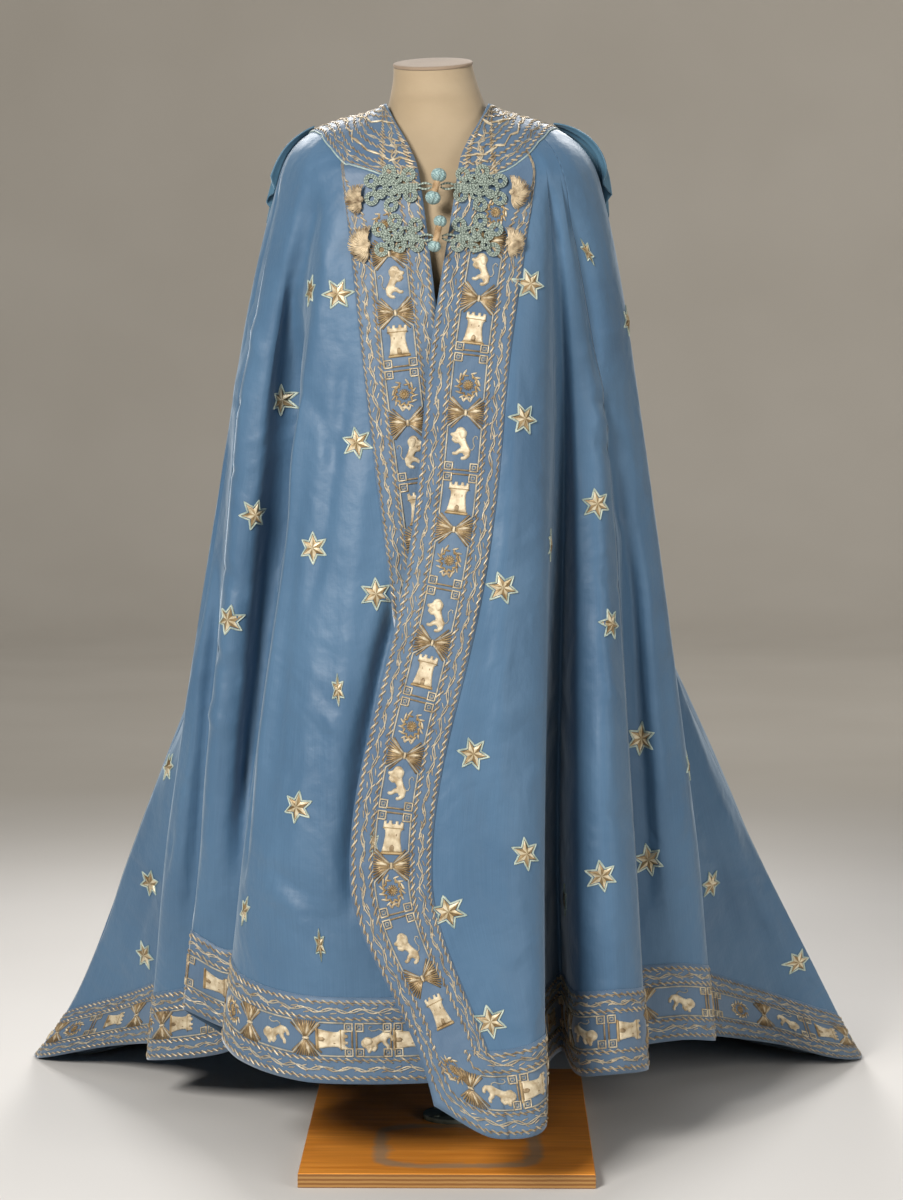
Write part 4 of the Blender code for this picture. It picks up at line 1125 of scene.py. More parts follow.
def joined_piece(name, parts, materials, node=None):
    """One piece of several (points, faces, kinds, places of the threads)."""
    faces = []
    kinds = []
    count = 0
    for points, part_faces, part_kinds, _ in parts:
        faces += [tuple(count + int(i) for i in f) for f in part_faces]
        kinds += list(part_kinds)
        count += len(points)
    points = np.concatenate([part[0] for part in parts])
    lie = np.concatenate([part[3] for part in parts])
    made = make_piece(name, points, faces, materials, lie)
    made.data.polygons.foreach_set("material_index", np.array(kinds, dtype=np.int32))
    dress(made, node)
    return made


CREAM, GOLD, BRONZE, FRAME_CORD, STRIP = range(5)


def at_place(x, y, degrees=0, mirror=False):
    """A flat matrix: drawn shapes turned, perhaps mirrored, and moved, in metres."""
    a = math.radians(degrees)
    flip = -1 if mirror else 1
    return np.array(
        [[math.cos(a) * flip, -math.sin(a), x], [math.sin(a) * flip, math.cos(a), y]]
    )


LION_LIMBS = (
    ((-4.5, -10, 6.0), (-1.5, -3, 4.9), (2, 3, 5.6), (4, 8, 6.4)),
    ((3.5, 13.5, 7.6), (4.5, 15.5, 6.6)),
    ((7, 14, 4.4), (11.5, 12.5, 2.7)),
    ((5, 8.5, 3.2), (11.5, 8, 2.3), (15.5, 11, 2.6)),
    ((4, 3, 3.2), (10, 1.0, 2.3), (13.5, 4, 2.5)),
    ((-3, -9, 4.8), (4.5, -11, 3.0), (8.5, -15, 2.4), (11.5, -15, 2.5)),
    ((-5.5, -10, 5.4), (-7, -16, 3.2), (-4, -20, 2.5), (-0.5, -21, 2.6)),
)
LION_TAIL = (
    (-9, -9), (-13, -8), (-15, -3), (-13, 2), (-12.5, 7), (-15, 11), (-18, 10), (-18, 6.5)
)
TOWER_WALL = (
    (-13.8, -18.5), (-11.6, -8), (-10.2, 2), (-10.6, 9), (-13.6, 12), (-13.6, 21.5), (-9.4, 22.2),
    (-9.2, 18.4), (-6.6, 18.3), (-6.4, 22.4), (-2.2, 22.6), (-2.0, 18.5), (2.0, 18.5), (2.2, 22.6),
    (6.4, 22.4), (6.6, 18.3), (9.2, 18.4), (9.4, 22.2), (13.6, 21.5), (13.6, 12), (10.6, 9),
    (10.2, 2), (11.6, -8), (13.8, -18.5),
)
TOWER_FOOT = ((-15.8, -22.4), (15.8, -22.4), (15.2, -18), (-15.2, -18))
TOWER_DOOR = ((-3.6, -18), (3.6, -18), (3.6, -12), (2.4, -9.4), (0, -8.4), (-2.4, -9.4), (-3.6, -12))
TOWER_WINDOWS = (
    ((-6.2, 2), (-3.8, 2), (-3.8, 6), (-6.2, 6)),
    ((3.8, 2), (6.2, 2), (6.2, 6), (3.8, 6)),
)


# The strands of laid thread: the length, width, height and bend of each, in millimetres.
STRANDS = {
    "strand": (14, 2.9, 2.3, 1.1),
    "small_strand": (11, 3.0, 2.2, 0.8),
    "leaf": (9.5, 3.0, 1.9, 0.4),
    "sprig": (10, 1.9, 1.5, 0.8),
    "long_leaf": (25, 4.4, 2.6, 0.9),
}


class Stock:
    """The motifs and thread shapes that are worked once and used many times."""

    def __init__(self):
        self.rows = strand_row_tree()
        self.cords = cord_tree()
        self.strand_of = {
            name: strand_mesh(name, *(size * MM for size in sizes))
            for name, sizes in STRANDS.items()
        }
        self.motifs = {
            "L": self.make_lion(),
            "T": self.make_tower(),
            "M": self.make_medallion(),
            "B": self.make_bow(),
            "K": self.make_keys(),
        }
        self.star = self.make_star()

    def strands(self, paths, strand, pitch, tilt, alternate=0.0, sway=0.1, seed=1):
        """Rows of strands along flat paths, in metres."""
        values = {
            "Strand": self.strand_of[strand],
            "Pitch": pitch,
            "Tilt": math.radians(tilt),
            "Alternate": alternate,
            "Sway": sway,
            "Seed": seed,
        }
        solid = [[(x, y, 0.0) for x, y in path] for path in paths]
        return grown(self.rows, solid, values)

    def cord(self, paths, radius, closed=False, sides=5, lift=0.0):
        """Round cords along flat paths, in metres."""
        values = {"Radius": radius, "Sides": sides}
        solid = [[(x, y, 0.0) for x, y in path] for path in paths]
        points, faces, lie = grown(self.cords, solid, values, closed)
        points[:, 2] = points[:, 2] + radius * 0.5 + lift
        return points, faces, lie

    def make_lion(self):
        """A padded lion that stands upright, with a raised mane and a corded tail."""
        body = padded_patch(LION_LIMBS, (20, 25), 1.4, 2.3, 2.2)
        mane = padded_patch((((2.0, 9.5, 5.2), (3.0, 14.5, 6.2)),), (19, 25), 1.7, 3.2, 3.4)
        tail = self.cord([[(x * MM, y * MM) for x, y in LION_TAIL]], 0.8 * MM)
        return ((body, CREAM), (mane, CREAM), (tail, FRAME_CORD))

    def make_tower(self):
        """A padded tower with a foot, a door, two windows and a ledge."""
        wall = padded_patch((TOWER_WALL,), (18, 26), 1.6, 2.0, 1.6)
        foot = padded_patch((TOWER_FOOT,), (18, 26), 2.0, 2.3, 1.2)
        door = padded_patch((TOWER_DOOR,), (8, 22), 1.4, 2.6, 1.0, sunk=0)
        made = [(wall, CREAM), (foot, GOLD), (door, BRONZE)]
        for window in TOWER_WINDOWS:
            made.append((padded_patch((window,), (8, 8), 1.2, 2.5, 0.8, sunk=0), BRONZE))
        ledge = [[(x * MM, 12.6 * MM) for x in (-14, -7, 0, 7, 14)]]
        made.append((self.cord(ledge, 0.7 * MM, lift=1.5 * MM), GOLD))
        return made

    def make_medallion(self):
        """A loose wreath that is open at its top, round a plain rosette."""
        ring = []
        outer = []
        for a in np.linspace(math.radians(115), math.radians(425), 44):
            ring.append((11.5 * MM * math.cos(a), 14.5 * MM * math.sin(a)))
            outer.append((14.5 * MM * math.cos(a), 18.5 * MM * math.sin(a)))
        base = [(-6 * MM, -19 * MM), (6 * MM, -19 * MM)]
        leaves = self.strands([ring], "leaf", 3.9 * MM, 38, alternate=1.0, sway=0.45, seed=5)
        tips = self.strands([outer], "leaf", 7.4 * MM, -52, sway=0.6, seed=8)
        foot = self.strands([base], "leaf", 3.4 * MM, 90, sway=0.7, seed=4)
        rays = []
        for n in range(14):
            a = 2 * math.pi * (n + 0.3) / 14
            rays.append([(r * MM * math.cos(a), r * MM * math.sin(a)) for r in (1.8, 4.4, 7.4)])
        rosette = self.cord(rays, 0.95 * MM)
        knob = padded_patch((((0, 0, 2.4), (0.1, 0, 2.4)),), (4, 4), 1.0, 2.6, 1.8)
        return ((leaves, GOLD), (tips, CREAM), (foot, CREAM), (rosette, GOLD), (knob, GOLD))

    def make_bow(self):
        """Two fans of satin stitches from a knot, with a pale leaf on each."""
        rays = [[], []]
        for side in (0, 180):
            for n, turn in enumerate(range(-50, 51, 8)):
                a = math.radians(side + turn)
                reach = min(24.0 / math.cos(math.radians(turn)), 28.5)
                way = np.array((math.cos(a), math.sin(a))) * MM
                rays[n % 2].append([tuple(way * 3), tuple(way * 14), tuple(way * reach)])
        dark = self.cord(rays[0], 1.35 * MM, lift=-0.2 * MM)
        light = self.cord(rays[1], 1.2 * MM)
        leaves = []
        for sign in (-1, 1):
            leaves.append(((sign * 5, 1.0, 1.0), (sign * 12.5, 3.0, 2.9), (sign * 20.5, 4.6, 0.9)))
        leaf = padded_patch(tuple(leaves), (24, 9), 1.3, 3.2, 2.0)
        knot = padded_patch((((0, -2.8, 2.1), (0, 2.8, 2.1)),), (6, 8), 1.1, 3.4, 1.6)
        return ((dark, BRONZE), (light, GOLD), (leaf, CREAM), (knot, CREAM))

    def make_keys(self):
        """Two small squares on either side, with bars between them."""
        corners = ((-1, -1), (1, -1), (1, 1), (-1, 1), (-1, -1))
        places = [(x, y) for x in (-17, 17) for y in (-7.4, 7.4)]

        def squares(size):
            return [
                [((x + size * a) * MM, (y + size * b) * MM) for a, b in corners]
                for x, y in places
            ]

        bars = [[(x * MM, y * MM) for x in (-13, -4, 4, 13)] for y in (-3.0, 3.0)]
        outer = self.cord(squares(5.1), 1.4 * MM)
        inner = self.cord(squares(2.2), 0.9 * MM)
        links = self.cord(bars, 1.25 * MM)
        return ((outer, CREAM), (inner, FRAME_CORD), (links, BRONZE))

    def make_star(self):
        """A six-pointed star of folded facets, with a cord round it."""

        def points_round(tip, notch):
            made = []
            for n in range(12):
                a = math.pi * n / 6 + math.pi / 2
                radius = notch if n % 2 else tip
                made.append((radius * MM * math.cos(a), radius * MM * math.sin(a)))
            return list(zip(made, made[1:] + made[:1]))

        points = [(0.0, 0.0, 3.4 * MM)]
        lie = [(0.0, 0.0)]
        faces = []
        for n, ends in enumerate(points_round(18.5, 8.6)):
            first = len(points)
            for k, p in enumerate(ends):
                rise = 0.4 if (n + k) % 2 else 1.0
                points += [(*p, rise * MM), (*p, -0.6 * MM)]
                lie += [p, p]
            faces += [(0, first, first + 2), (first, first + 1, first + 3, first + 2)]
        rim = []
        for a, b in points_round(22.3, 11.0):
            for share in (0, 0.14, 0.5, 0.86):
                rim.append((a[0] + (b[0] - a[0]) * share, a[1] + (b[1] - a[1]) * share))
        outline = self.cord([rim], 1.15 * MM, closed=True)
        return (np.array(points), faces, np.array(lie)), outline

    def work(self, needlework, kind, matrix):
        """Works a motif at a place of its own."""
        for made, thread in self.motifs[kind]:
            needlework.add(made, thread, matrix)


# Where the motifs and the links between them lie, in millimetres: down the fronts from the
# collar, and round the hem from the left front border. L is a lion, T a tower, M a medallion,
# B a bow and K a pair of linked keys.
RIGHT_FRONT_ORDER = (
    (107, "M"), (148, "B"), (188, "L"), (229, "B"), (271, "T"), (305, "K"), (350, "M"), (388, "B"),
    (430, "L"), (470, "K"), (506, "T"), (549, "B"), (592, "M"), (629, "K"), (668, "L"), (706, "B"),
    (746, "T"), (784, "K"), (822, "M"), (862, "B"), (899, "L"), (936, "K"), (972, "T"),
    (1009, "B"), (1041, "M"), (1074, "K"), (1119, "L"), (1163, "B"), (1211, "T"),
)
LEFT_FRONT_ORDER = (
    (106, "M"), (147, "B"), (186, "L"), (229, "B"), (268, "T"), (306, "K"), (342, "M"), (382, "B"),
    (422, "L"), (462, "K"), (500, "T"), (545, "B"), (584, "M"), (620, "K"), (657, "L"), (699, "B"),
    (736, "T"), (775, "K"), (810, "M"), (853, "B"), (891, "L"), (927, "K"), (961, "T"), (997, "B"),
    (1033, "M"), (1071, "K"), (1111, "L"),
)
HEM_LEFT_ORDER = (
    (-59, "M"), (-12, "B"), (30, "T"), (52, "K"), (74, "L"), (105, "K"), (136, "T"), (172, "B"),
    (220, "L"), (270, "B"), (312, "M"), (356, "K"), (399, "L"), (444, "B"), (492, "T"), (543, "K"),
    (593, "M"), (644, "B"), (694, "L"), (744, "K"), (795, "T"), (834, "B"), (874, "M"), (916, "K"),
    (959, "L"), (1024, "B"), (1083, "T"), (1134, "K"), (1177, "M"), (1219, "B"),
)
HEM_RIGHT_ORDER = (
    (2887, "B"), (2929, "T"), (2970, "K"), (3007, "L"), (3063, "B"), (3121, "M"), (3184, "K"),
    (3244, "L"), (3304, "B"), (3359, "T"), (3409, "K"), (3456, "L"), (3518, "B"), (3584, "M"),
    (3646, "B"), (3704, "T"), (3740, "K"), (3775, "L"), (3830, "B"), (3884, "M"), (3939, "K"),
    (3994, "T"), (4049, "B"), (4104, "L"), (4159, "K"), (4214, "M"), (4272, "B"), (4325, "T"),
    (4347, "K"), (4375, "L"), (4414, "B"),
)
HEM_PITCH = 40
FRONT_MIDDLE = 55.75
HEM_MIDDLE = 60
FRONT_STRIPS = (5.5, 28.5, 83, 105.5)
HEM_STRIPS = (8, 32, 88, 110)
FRONT_VINES = (17, 94.5)
HEM_VINES = (20, 99)
CORNER_TURNS = (34, 22, 12, 5)
STRAND_PITCH = 10.7 * MM
VINE_WAVE = 40 * MM
SMALL_PITCH = 7.2 * MM
FRAME_RADIUS = 1.35 * MM
VINE_SWING = 3.2 * MM


def hem_order():
    """The whole hem's order: as listed where the photograph shows it, and regular round the back."""
    order = list(HEM_LEFT_ORDER)
    end = HEM_RIGHT_ORDER[0][0]
    kinds = "LKTBMKLBTKMB"
    count = round((end - order[-1][0]) / HEM_PITCH)
    count -= (count - 1) % 2
    step = (end - order[-1][0]) / (count + 1)
    start = order[-1][0]
    for n in range(count):
        order.append((start + step * (n + 1), kinds[n % len(kinds)]))
    return order + list(HEM_RIGHT_ORDER)


def smooth_path(points, spacing=4 * MM):
    """Flat points joined by straight runs, with places close enough to follow the cloth."""
    made = [tuple(points[0])]
    for a, b in zip(points, points[1:]):
        gap = math.hypot(b[0] - a[0], b[1] - a[1])
        count = max(1, math.ceil(gap / spacing))
        for i in range(1, count + 1):
            made.append((a[0] + (b[0] - a[0]) * i / count, a[1] + (b[1] - a[1]) * i / count))
    return made


def waved(path, swing, wave, phase):
    """A path that swings from side to side along another one."""
    line = np.array(path)
    reached = lengths(line)
    way = np.gradient(line, axis=0)
    way = way / np.maximum(np.linalg.norm(way, axis=1, keepdims=True), 1e-9)
    across = np.stack([-way[:, 1], way[:, 0]], axis=1)
    turn = 2 * math.pi * reached / wave + phase
    return [tuple(p) for p in line + across * (swing * np.sin(turn))[:, None]]


def strip_rows(needlework, stock, paths, seed, small=False):
    """Twisted strips: slanted strands over a thin dull core."""
    strand = "small_strand" if small else "strand"
    pitch = SMALL_PITCH if small else STRAND_PITCH
    needlework.add(stock.strands(paths, strand, pitch, 22, sway=0.12, seed=seed), STRIP)
    needlework.add(stock.cord(paths, 0.8 * MM, sides=3, lift=-0.2 * MM), GOLD)


def vine_rows(needlework, stock, paths, seed):
    """Vines: two thin cords that swing round each other, with a few sprigs."""
    for swing, phase, kind in ((VINE_SWING, 0.0, STRIP), (VINE_SWING * 0.75, 1.25, FRAME_CORD)):
        swung = [waved(path, swing, VINE_WAVE, phase) for path in paths]
        needlework.add(stock.cord(swung, 0.95 * MM), kind)
    for phase, tilt in ((0.5, 26), (0.5 + math.pi, -26)):
        swung = [waved(path, VINE_SWING * 1.3, VINE_WAVE, phase) for path in paths]
        sprigs = stock.strands(swung, "sprig", VINE_WAVE / 2, tilt, sway=0.2, seed=seed)
        needlework.add(sprigs, STRIP)


def cartouches(order):
    """The side lines of the frames round each motif, as (along, across) paths in millimetres."""
    to_bow = ((3, 0.1), (10, 0.5), (20, 1.0))
    paths = []
    for (start, before), (_, kind), (end, after) in zip(order, order[1:], order[2:]):
        if kind in "BK":
            continue
        for side in (-22.5, 22.5):
            line = [(start + away, side * share) for away, share in to_bow]
            if before != "B":
                line = [(start + 13, side)]
            if after == "B":
                line += [(end - away, side * share) for away, share in to_bow[::-1]]
            else:
                line += [(end - 13, side)]
            paths.append(line)
    return paths


def work_front(stock, chart, order, name):
    """The embroidery of one front border, down to where the hem's begins."""
    needlework = Needlework(chart, GROUND_HIGH)

    def runs(places):
        made = []
        for t in places:
            start = float(np.interp(t * MM, chart.xs, chart.starts)) - 2 * MM
            end = float(np.interp(t * MM, chart.xs, chart.ends))
            made.append(smooth_path([(t * MM, start), (t * MM, end)]))
        return made

    strip_rows(needlework, stock, runs(FRONT_STRIPS), 11)
    vine_rows(needlework, stock, runs(FRONT_VINES), 12)
    frames = []
    for line in cartouches(order):
        frames.append(smooth_path([((FRONT_MIDDLE + v) * MM, c * MM) for c, v in line]))
    needlework.add(stock.cord(frames, FRAME_RADIUS), FRAME_CORD)
    for along, kind in order:
        stock.work(needlework, kind, at_place(FRONT_MIDDLE * MM, along * MM, 180))
    joined_piece(name, [needlework.laid()], THREADS)


def corner_path(x, way, front, hem, turn, end):
    """A strip's path down a front border's last stretch, round the corner and off to an end."""
    edge = x + way * front
    top = HEM_BORDER / MM
    points = [(edge, top), (edge, hem + turn)]
    for step in range(1, 8):
        a = math.radians(90 * step / 7)
        points.append((edge + way * turn * (1 - math.cos(a)), hem + turn * (1 - math.sin(a))))
    points.append((end, hem))
    return [(p[0] * MM, p[1] * MM) for p in points]


def hem_paths(first, last, length, fronts, hems):
    """The paths of strips or vines over one breadth of the hem, with its corners if it has any."""
    paths = []
    for front, hem, turn in zip(fronts, hems, CORNER_TURNS):
        if first < 0:
            path = corner_path(-FRONT_BORDER / MM, 1, front, hem, turn, last)
        elif last > length:
            path = corner_path(length + FRONT_BORDER / MM, -1, front, hem, turn, first)
        else:
            path = [(first * MM, hem * MM), (last * MM, hem * MM)]
        paths.append(smooth_path(path))
    return paths


def work_hem(stock, chart, length, first, last, name):
    """The embroidery of one breadth of the hem."""
    needlework = Needlework(chart, GROUND_HIGH)
    strips = hem_paths(first, last, length, FRONT_STRIPS, HEM_STRIPS)
    strip_rows(needlework, stock, strips, 21)
    vines = hem_paths(first, last, length, FRONT_VINES, HEM_VINES)
    vine_rows(needlework, stock, vines, 22)
    order = hem_order()
    inside = [n for n, (along, kind) in enumerate(order) if first < along <= last]
    low = max(inside[0] - 1, 0)
    high = min(inside[-1] + 2, len(order))
    frames = []
    for line in cartouches(order[low:high]):
        if line[0][0] >= first and line[-1][0] <= last + 40:
            frames.append(smooth_path([(c * MM, (HEM_MIDDLE + v) * MM) for c, v in line]))
    if frames:
        needlework.add(stock.cord(frames, FRAME_RADIUS), FRAME_CORD)
    for n in inside:
        along, kind = order[n]
        mirror = kind == "L" and along > length / 2
        degrees = -90 if kind == "L" and not mirror else 90
        stock.work(needlework, kind, at_place(along * MM, HEM_MIDDLE * MM, degrees, mirror))
    if last > length:
        stock.work(needlework, "M", at_place((length + 61) * MM, 76 * MM, 45))
    joined_piece(name, [needlework.laid()], THREADS)


def work_collar(stock):
    """The collar's embroidery: strips, vines and long leaves that follow its edges."""
    rows = (
        (7, False, "S"), (19, False, "V"), (31, False, "S"), (46, False, "L"), (61, False, "S"),
        (74, False, "V"), (87, False, "S"), (6, True, "S"), (18, True, "V"), (30, True, "S"),
        (44, True, "L"),
    )
    parts = []
    for distance, from_neck, kind in rows:
        chart = collar_row_chart(distance * MM, from_neck)
        needlework = Needlework(chart, COLLAR_GROUND)
        margin = 12 * MM if kind == "L" else 5 * MM
        path = smooth_path([(margin, 0.0), (chart.xs[-1] - margin, 0.0)])
        seed = 31 + distance
        if kind == "S":
            strip_rows(needlework, stock, [path], seed)
        elif kind == "V":
            vine_rows(needlework, stock, [path], seed)
        else:
            leaves = stock.strands(
                [path], "long_leaf", 17 * MM, 22, alternate=1.0, sway=0.25, seed=seed
            )
            needlework.add(leaves, CREAM)
            vine = waved(path, 3 * MM, VINE_WAVE, 0.6)
            needlework.add(stock.cord([vine], 0.9 * MM), GOLD)
        parts.append(needlework.laid())
    for front in (LEFT, RIGHT):
        chart = collar_front_chart(front)
        needlework = Needlework(chart, COLLAR_GROUND)
        end = chart.xs[-1] - 6 * MM
        for place in (6, 28):
            path = smooth_path([(2 * MM, place * MM), (end, place * MM)])
            strip_rows(needlework, stock, [path], 41, small=True)
        vine_rows(needlework, stock, [smooth_path([(2 * MM, 17 * MM), (end, 17 * MM)])], 42)
        parts.append(needlework.laid())
    joined_piece("collar_embroidery", parts, THREADS)


def rib_cord(stock, ribs, alongs, radius, lift):
    """A cord that follows a path over the cloth."""
    path = draped(ribs, alongs) + outward(ribs, alongs) * lift
    return part_of(*grown(stock.cords, [path], {"Radius": radius, "Sides": 6}))


def make_piping(stock):
    """The pale cord round the collar's outer edge and the sewn seams between the breadths."""
    ribs, alongs = rows_down(columns_round(6 * MM, 24 * MM), 1, 1, 1)
    part = rib_cord(stock, ribs[:, 1], alongs[:, 1], 1.3 * MM, 0.9 * MM)
    joined_piece("collar_piping", [part], [PIPING])
    parts = []
    seams = (LEFT_SEAM, LEFT_CORNER, BACK_LEFT_SEAM, BACK_RIGHT_SEAM, RIGHT_CORNER, RIGHT_SEAM)
    for seam in seams:
        ribs, alongs = rows_down([np.full(PATH_SAMPLES, float(seam))], 1, 90, 1)
        parts.append(rib_cord(stock, ribs[0, 1:92], alongs[0, 1:92], 0.45 * MM, -0.2 * MM))
    joined_piece("seams", parts, [SEAM_THREAD])


def thread_material(name, dark, light, metallic, roughness):
    """Laid silk and gilt thread: fine fibres along each strand and a tone of its own."""
    made, tree, shader, place = new_material(name)
    tone = noise(tree, place["Object"], {"Scale": 90, "Detail": 2})
    tone = ramp(tree, tone, (0.32, dark), (0.62, light))
    fibres = bands(tree, place["UV"], "X", {"Scale": 260, "Distortion": 1.5, "Detail": 1})
    look = {
        "Base Color": mixed(tree, 0.35, tone, fibres["Color"], "MULTIPLY"),
        "Normal": bump(tree, fibres["Fac"], 0.5, 0.0004),
        "Metallic": metallic,
        "Roughness": roughness,
        "Specular IOR Level": 0.6,
    }
    set_inputs(tree, shader, look)
    return made


CREAM_THREAD = thread_material("cream_thread", (0.44, 0.33, 0.19), (0.78, 0.67, 0.47), 0.15, 0.42)
GOLD_THREAD = thread_material("gold_thread", (0.27, 0.17, 0.07), (0.50, 0.36, 0.18), 0.35, 0.38)
BRONZE_THREAD = thread_material(
    "bronze_thread", (0.20, 0.135, 0.065), (0.40, 0.29, 0.16), 0.3, 0.42
)
GREY_CORD = thread_material("grey_cord", (0.28, 0.26, 0.21), (0.54, 0.49, 0.38), 0.1, 0.5)
PIPING = thread_material("piping", (0.26, 0.36, 0.37), (0.46, 0.57, 0.54), 0.0, 0.5)
SEAM_THREAD = thread_material("seam_thread", (0.035, 0.08, 0.145), (0.055, 0.115, 0.195), 0.0, 0.6)
STRIP_THREAD = thread_material("strip_thread", (0.30, 0.22, 0.13), (0.68, 0.57, 0.40), 0.2, 0.42)
THREADS = (CREAM_THREAD, GOLD_THREAD, BRONZE_THREAD, GREY_CORD, STRIP_THREAD)


def make_embroidery(stock):
    """The embroidery of the fronts and of each breadth of the hem."""
    work_front(stock, front_chart(LEFT), LEFT_FRONT_ORDER, "front_embroidery_left")
    work_front(stock, front_chart(RIGHT), RIGHT_FRONT_ORDER, "front_embroidery_right")
    work_collar(stock)
    chart = hem_chart()
    length = chart.length / MM
    seams = (LEFT_SEAM, LEFT_CORNER, RIGHT_CORNER, RIGHT_SEAM)
    breaks = [float(np.interp(n, chart.ribs, chart.xs)) / MM for n in seams]
    ends = [-FRONT_BORDER / MM] + breaks + [length + FRONT_BORDER / MM]
    names = ("front_left", "side_left", "back", "side_right", "front_right")
    for name, first, last in zip(names, ends, ends[1:]):
        work_hem(stock, chart, length, first, last, f"hem_embroidery_{name}")


# Stars where the photograph shows them, in its pixels, how far each is turned, in degrees, and
# how much it is narrowed where it lies across a fold.
STARS_SEEN = (
    (305, 284, 8), (338, 294, -12), (280, 400, 5), (357, 443, 14), (255, 515, -6), (313, 548, 10),
    (376, 594, 3), (228, 620, 12), (338, 690, 6, 0.42), (297, 807, -4), (160, 775, 9),
    (344, 833, 4, 0.3), (151, 883, 16), (245, 911, -9, 0.5), (320, 945, 6, 0.36), (145, 955, -3),
    (530, 284, 10), (585, 253, 4, 0.3), (524, 419, 15), (597, 504, 2), (558, 529, -12),
    (503, 588, 6), (621, 622, 18), (641, 738, -5), (697, 777, 8), (473, 754, 12), (526, 854, -7),
    (602, 876, 5), (649, 859, 14), (558, 890, 2), (711, 884, -10), (448, 912, 9), (490, 1022, 4),
    (798, 962, 7),
)
# Stars on the sides that the photograph hides: the rib, the share of its length and the turn.
STARS_HIDDEN = (
    (10.6, 0.30, 4), (11.4, 0.46, 15), (12.6, 0.35, -8), (13.2, 0.55, 6), (14.0, 0.28, 11),
    (14.3, 0.43, -5), (14.6, 0.66, 9), (14.2, 0.82, 2), (15.6, 0.34, 14), (15.9, 0.53, -11),
    (16.1, 0.73, 5), (16.9, 0.26, 3), (17.2, 0.42, 12), (17.4, 0.62, -7), (17.6, 0.82, 8),
    (18.6, 0.33, -2), (18.9, 0.52, 10), (19.0, 0.71, 16), (20.1, 0.27, 6), (20.3, 0.43, -9),
    (20.5, 0.62, 4), (20.4, 0.83, 12), (21.7, 0.35, 9), (21.9, 0.54, -4), (21.8, 0.73, 7),
    (23.2, 0.29, 13), (23.4, 0.45, 1), (23.3, 0.64, -10), (23.5, 0.81, 5), (24.7, 0.37, 8),
    (25.0, 0.56, -6), (25.6, 0.30, 11), (27.6, 0.34, 3), (28.4, 0.50, -12), (29.2, 0.27, 6),
)


def grid_steps(points, i, j, reach):
    """How far a step along each way of a grid goes, measured over a few of them."""
    columns, rows = points.shape[:2]
    low_i, high_i = max(i - reach, 0), min(i + reach, columns - 1)
    low_j, high_j = max(j - reach, 0), min(j + reach, rows - 1)
    step_i = (points[high_i, j] - points[low_i, j]) / (high_i - low_i)
    step_j = (points[i, high_j] - points[i, low_j]) / (high_j - low_j)
    return step_i, step_j


def lay_on_panel(panel, i, j, flat, turn):
    """Flat points laid on a panel round a place of its grid."""
    points, normals = panel
    edge = np.array(points.shape[:2]) - 1.001
    i, j = np.clip((i, j), 0, edge)
    step_i, step_j = grid_steps(points, int(i), int(j), 2)
    side = step_i / np.linalg.norm(step_i)
    up = np.cross(normals[int(i), int(j)], side)
    steps = np.array([[step_i @ side, step_j @ side], [step_i @ up, step_j @ up]])
    a = math.radians(turn)
    spin = np.array([[math.cos(a), -math.sin(a)], [math.sin(a), math.cos(a)]])
    moved = np.linalg.solve(steps, spin @ flat[:, :2].T).T + (i, j)
    place = np.clip(moved, 0, edge).T
    return read_table(points, *place) + read_table(normals, *place) * flat[:, 2:3]


def seen_place(x, y):
    """The panel and the place on its grid that the camera sees at a pixel of the photograph."""
    best = None
    for name, (points, normals) in PANELS.items():
        across, down = photo_place(points - AXIS)
        gap = np.hypot(across - x, down - y)
        facing = normals[..., 1] < 0.15
        near = np.argwhere((gap < 9) & facing)
        for i, j in near:
            score = gap[i, j] * 4 * MM + points[i, j, 1]
            if best is None or score < best[0]:
                best = (score, name, i, j)
    _, name, i, j = best
    seen = np.stack(photo_place(PANELS[name][0] - AXIS), axis=-1)
    slope = np.stack(grid_steps(seen, i, j, 1), axis=1)
    if abs(np.linalg.det(slope)) < 0.4:
        return name, float(i), float(j)
    move = np.clip(np.linalg.solve(slope, (x, y) - seen[i, j]), -1.5, 1.5)
    return name, float(i + move[0]), float(j + move[1])


def inside_panel(points, i, j):
    """A place on a panel's grid, moved so that a star there does not reach over its seams."""
    columns = points.shape[0]
    a, b = int(i), int(j)
    step = np.linalg.norm(points[min(a + 1, columns - 1), b] - points[max(a - 1, 0), b]) / 2
    room = min(17 * MM / max(step, 1e-6), columns / 2 - 1)
    return float(np.clip(i, room, columns - 1 - room)), j


def make_stars(stock):
    """The scattered stars, each of twelve folded facets with a cord round them."""
    facets, outline = stock.star
    shapes = (part_of(*facets), part_of(*outline, kind=2))
    shades = [n // 2 % 2 for n in range(len(facets[1]))]
    places = [(*seen_place(x, y), rest) for x, y, *rest in STARS_SEEN]
    places += [(*hidden_place(rib, along), [turn]) for rib, along, turn in STARS_HIDDEN]
    parts = []
    for name, i, j, (turn, *squeeze) in places:
        i, j = inside_panel(PANELS[name][0], i, j)
        for flat, faces, kinds, lie in shapes:
            raised = flat * (squeeze[0] if squeeze else 1, 1, 1) + (0, 0, 0.2 * MM)
            laid = lay_on_panel(PANELS[name], i, j, raised, turn)
            parts.append((laid, faces, kinds if kinds[0] else shades, lie))
    made = joined_piece("stars", parts, [STAR_LIGHT, STAR_DARK, STAR_CORD])
    made.data.set_sharp_from_angle(angle=math.radians(14))


def hidden_place(rib, along):
    """The panel and the place on its grid of a rib's point."""
    target = cloth(np.array([rib]), np.array([along]))[0] + AXIS
    best = None
    for name, (points, _) in PANELS.items():
        gap = np.linalg.norm(points - target, axis=-1)
        i, j = np.unravel_index(np.argmin(gap), gap.shape)
        if best is None or gap[i, j] < best[0]:
            best = (gap[i, j], name, i, j)
    return best[1], float(best[2]), float(best[3])


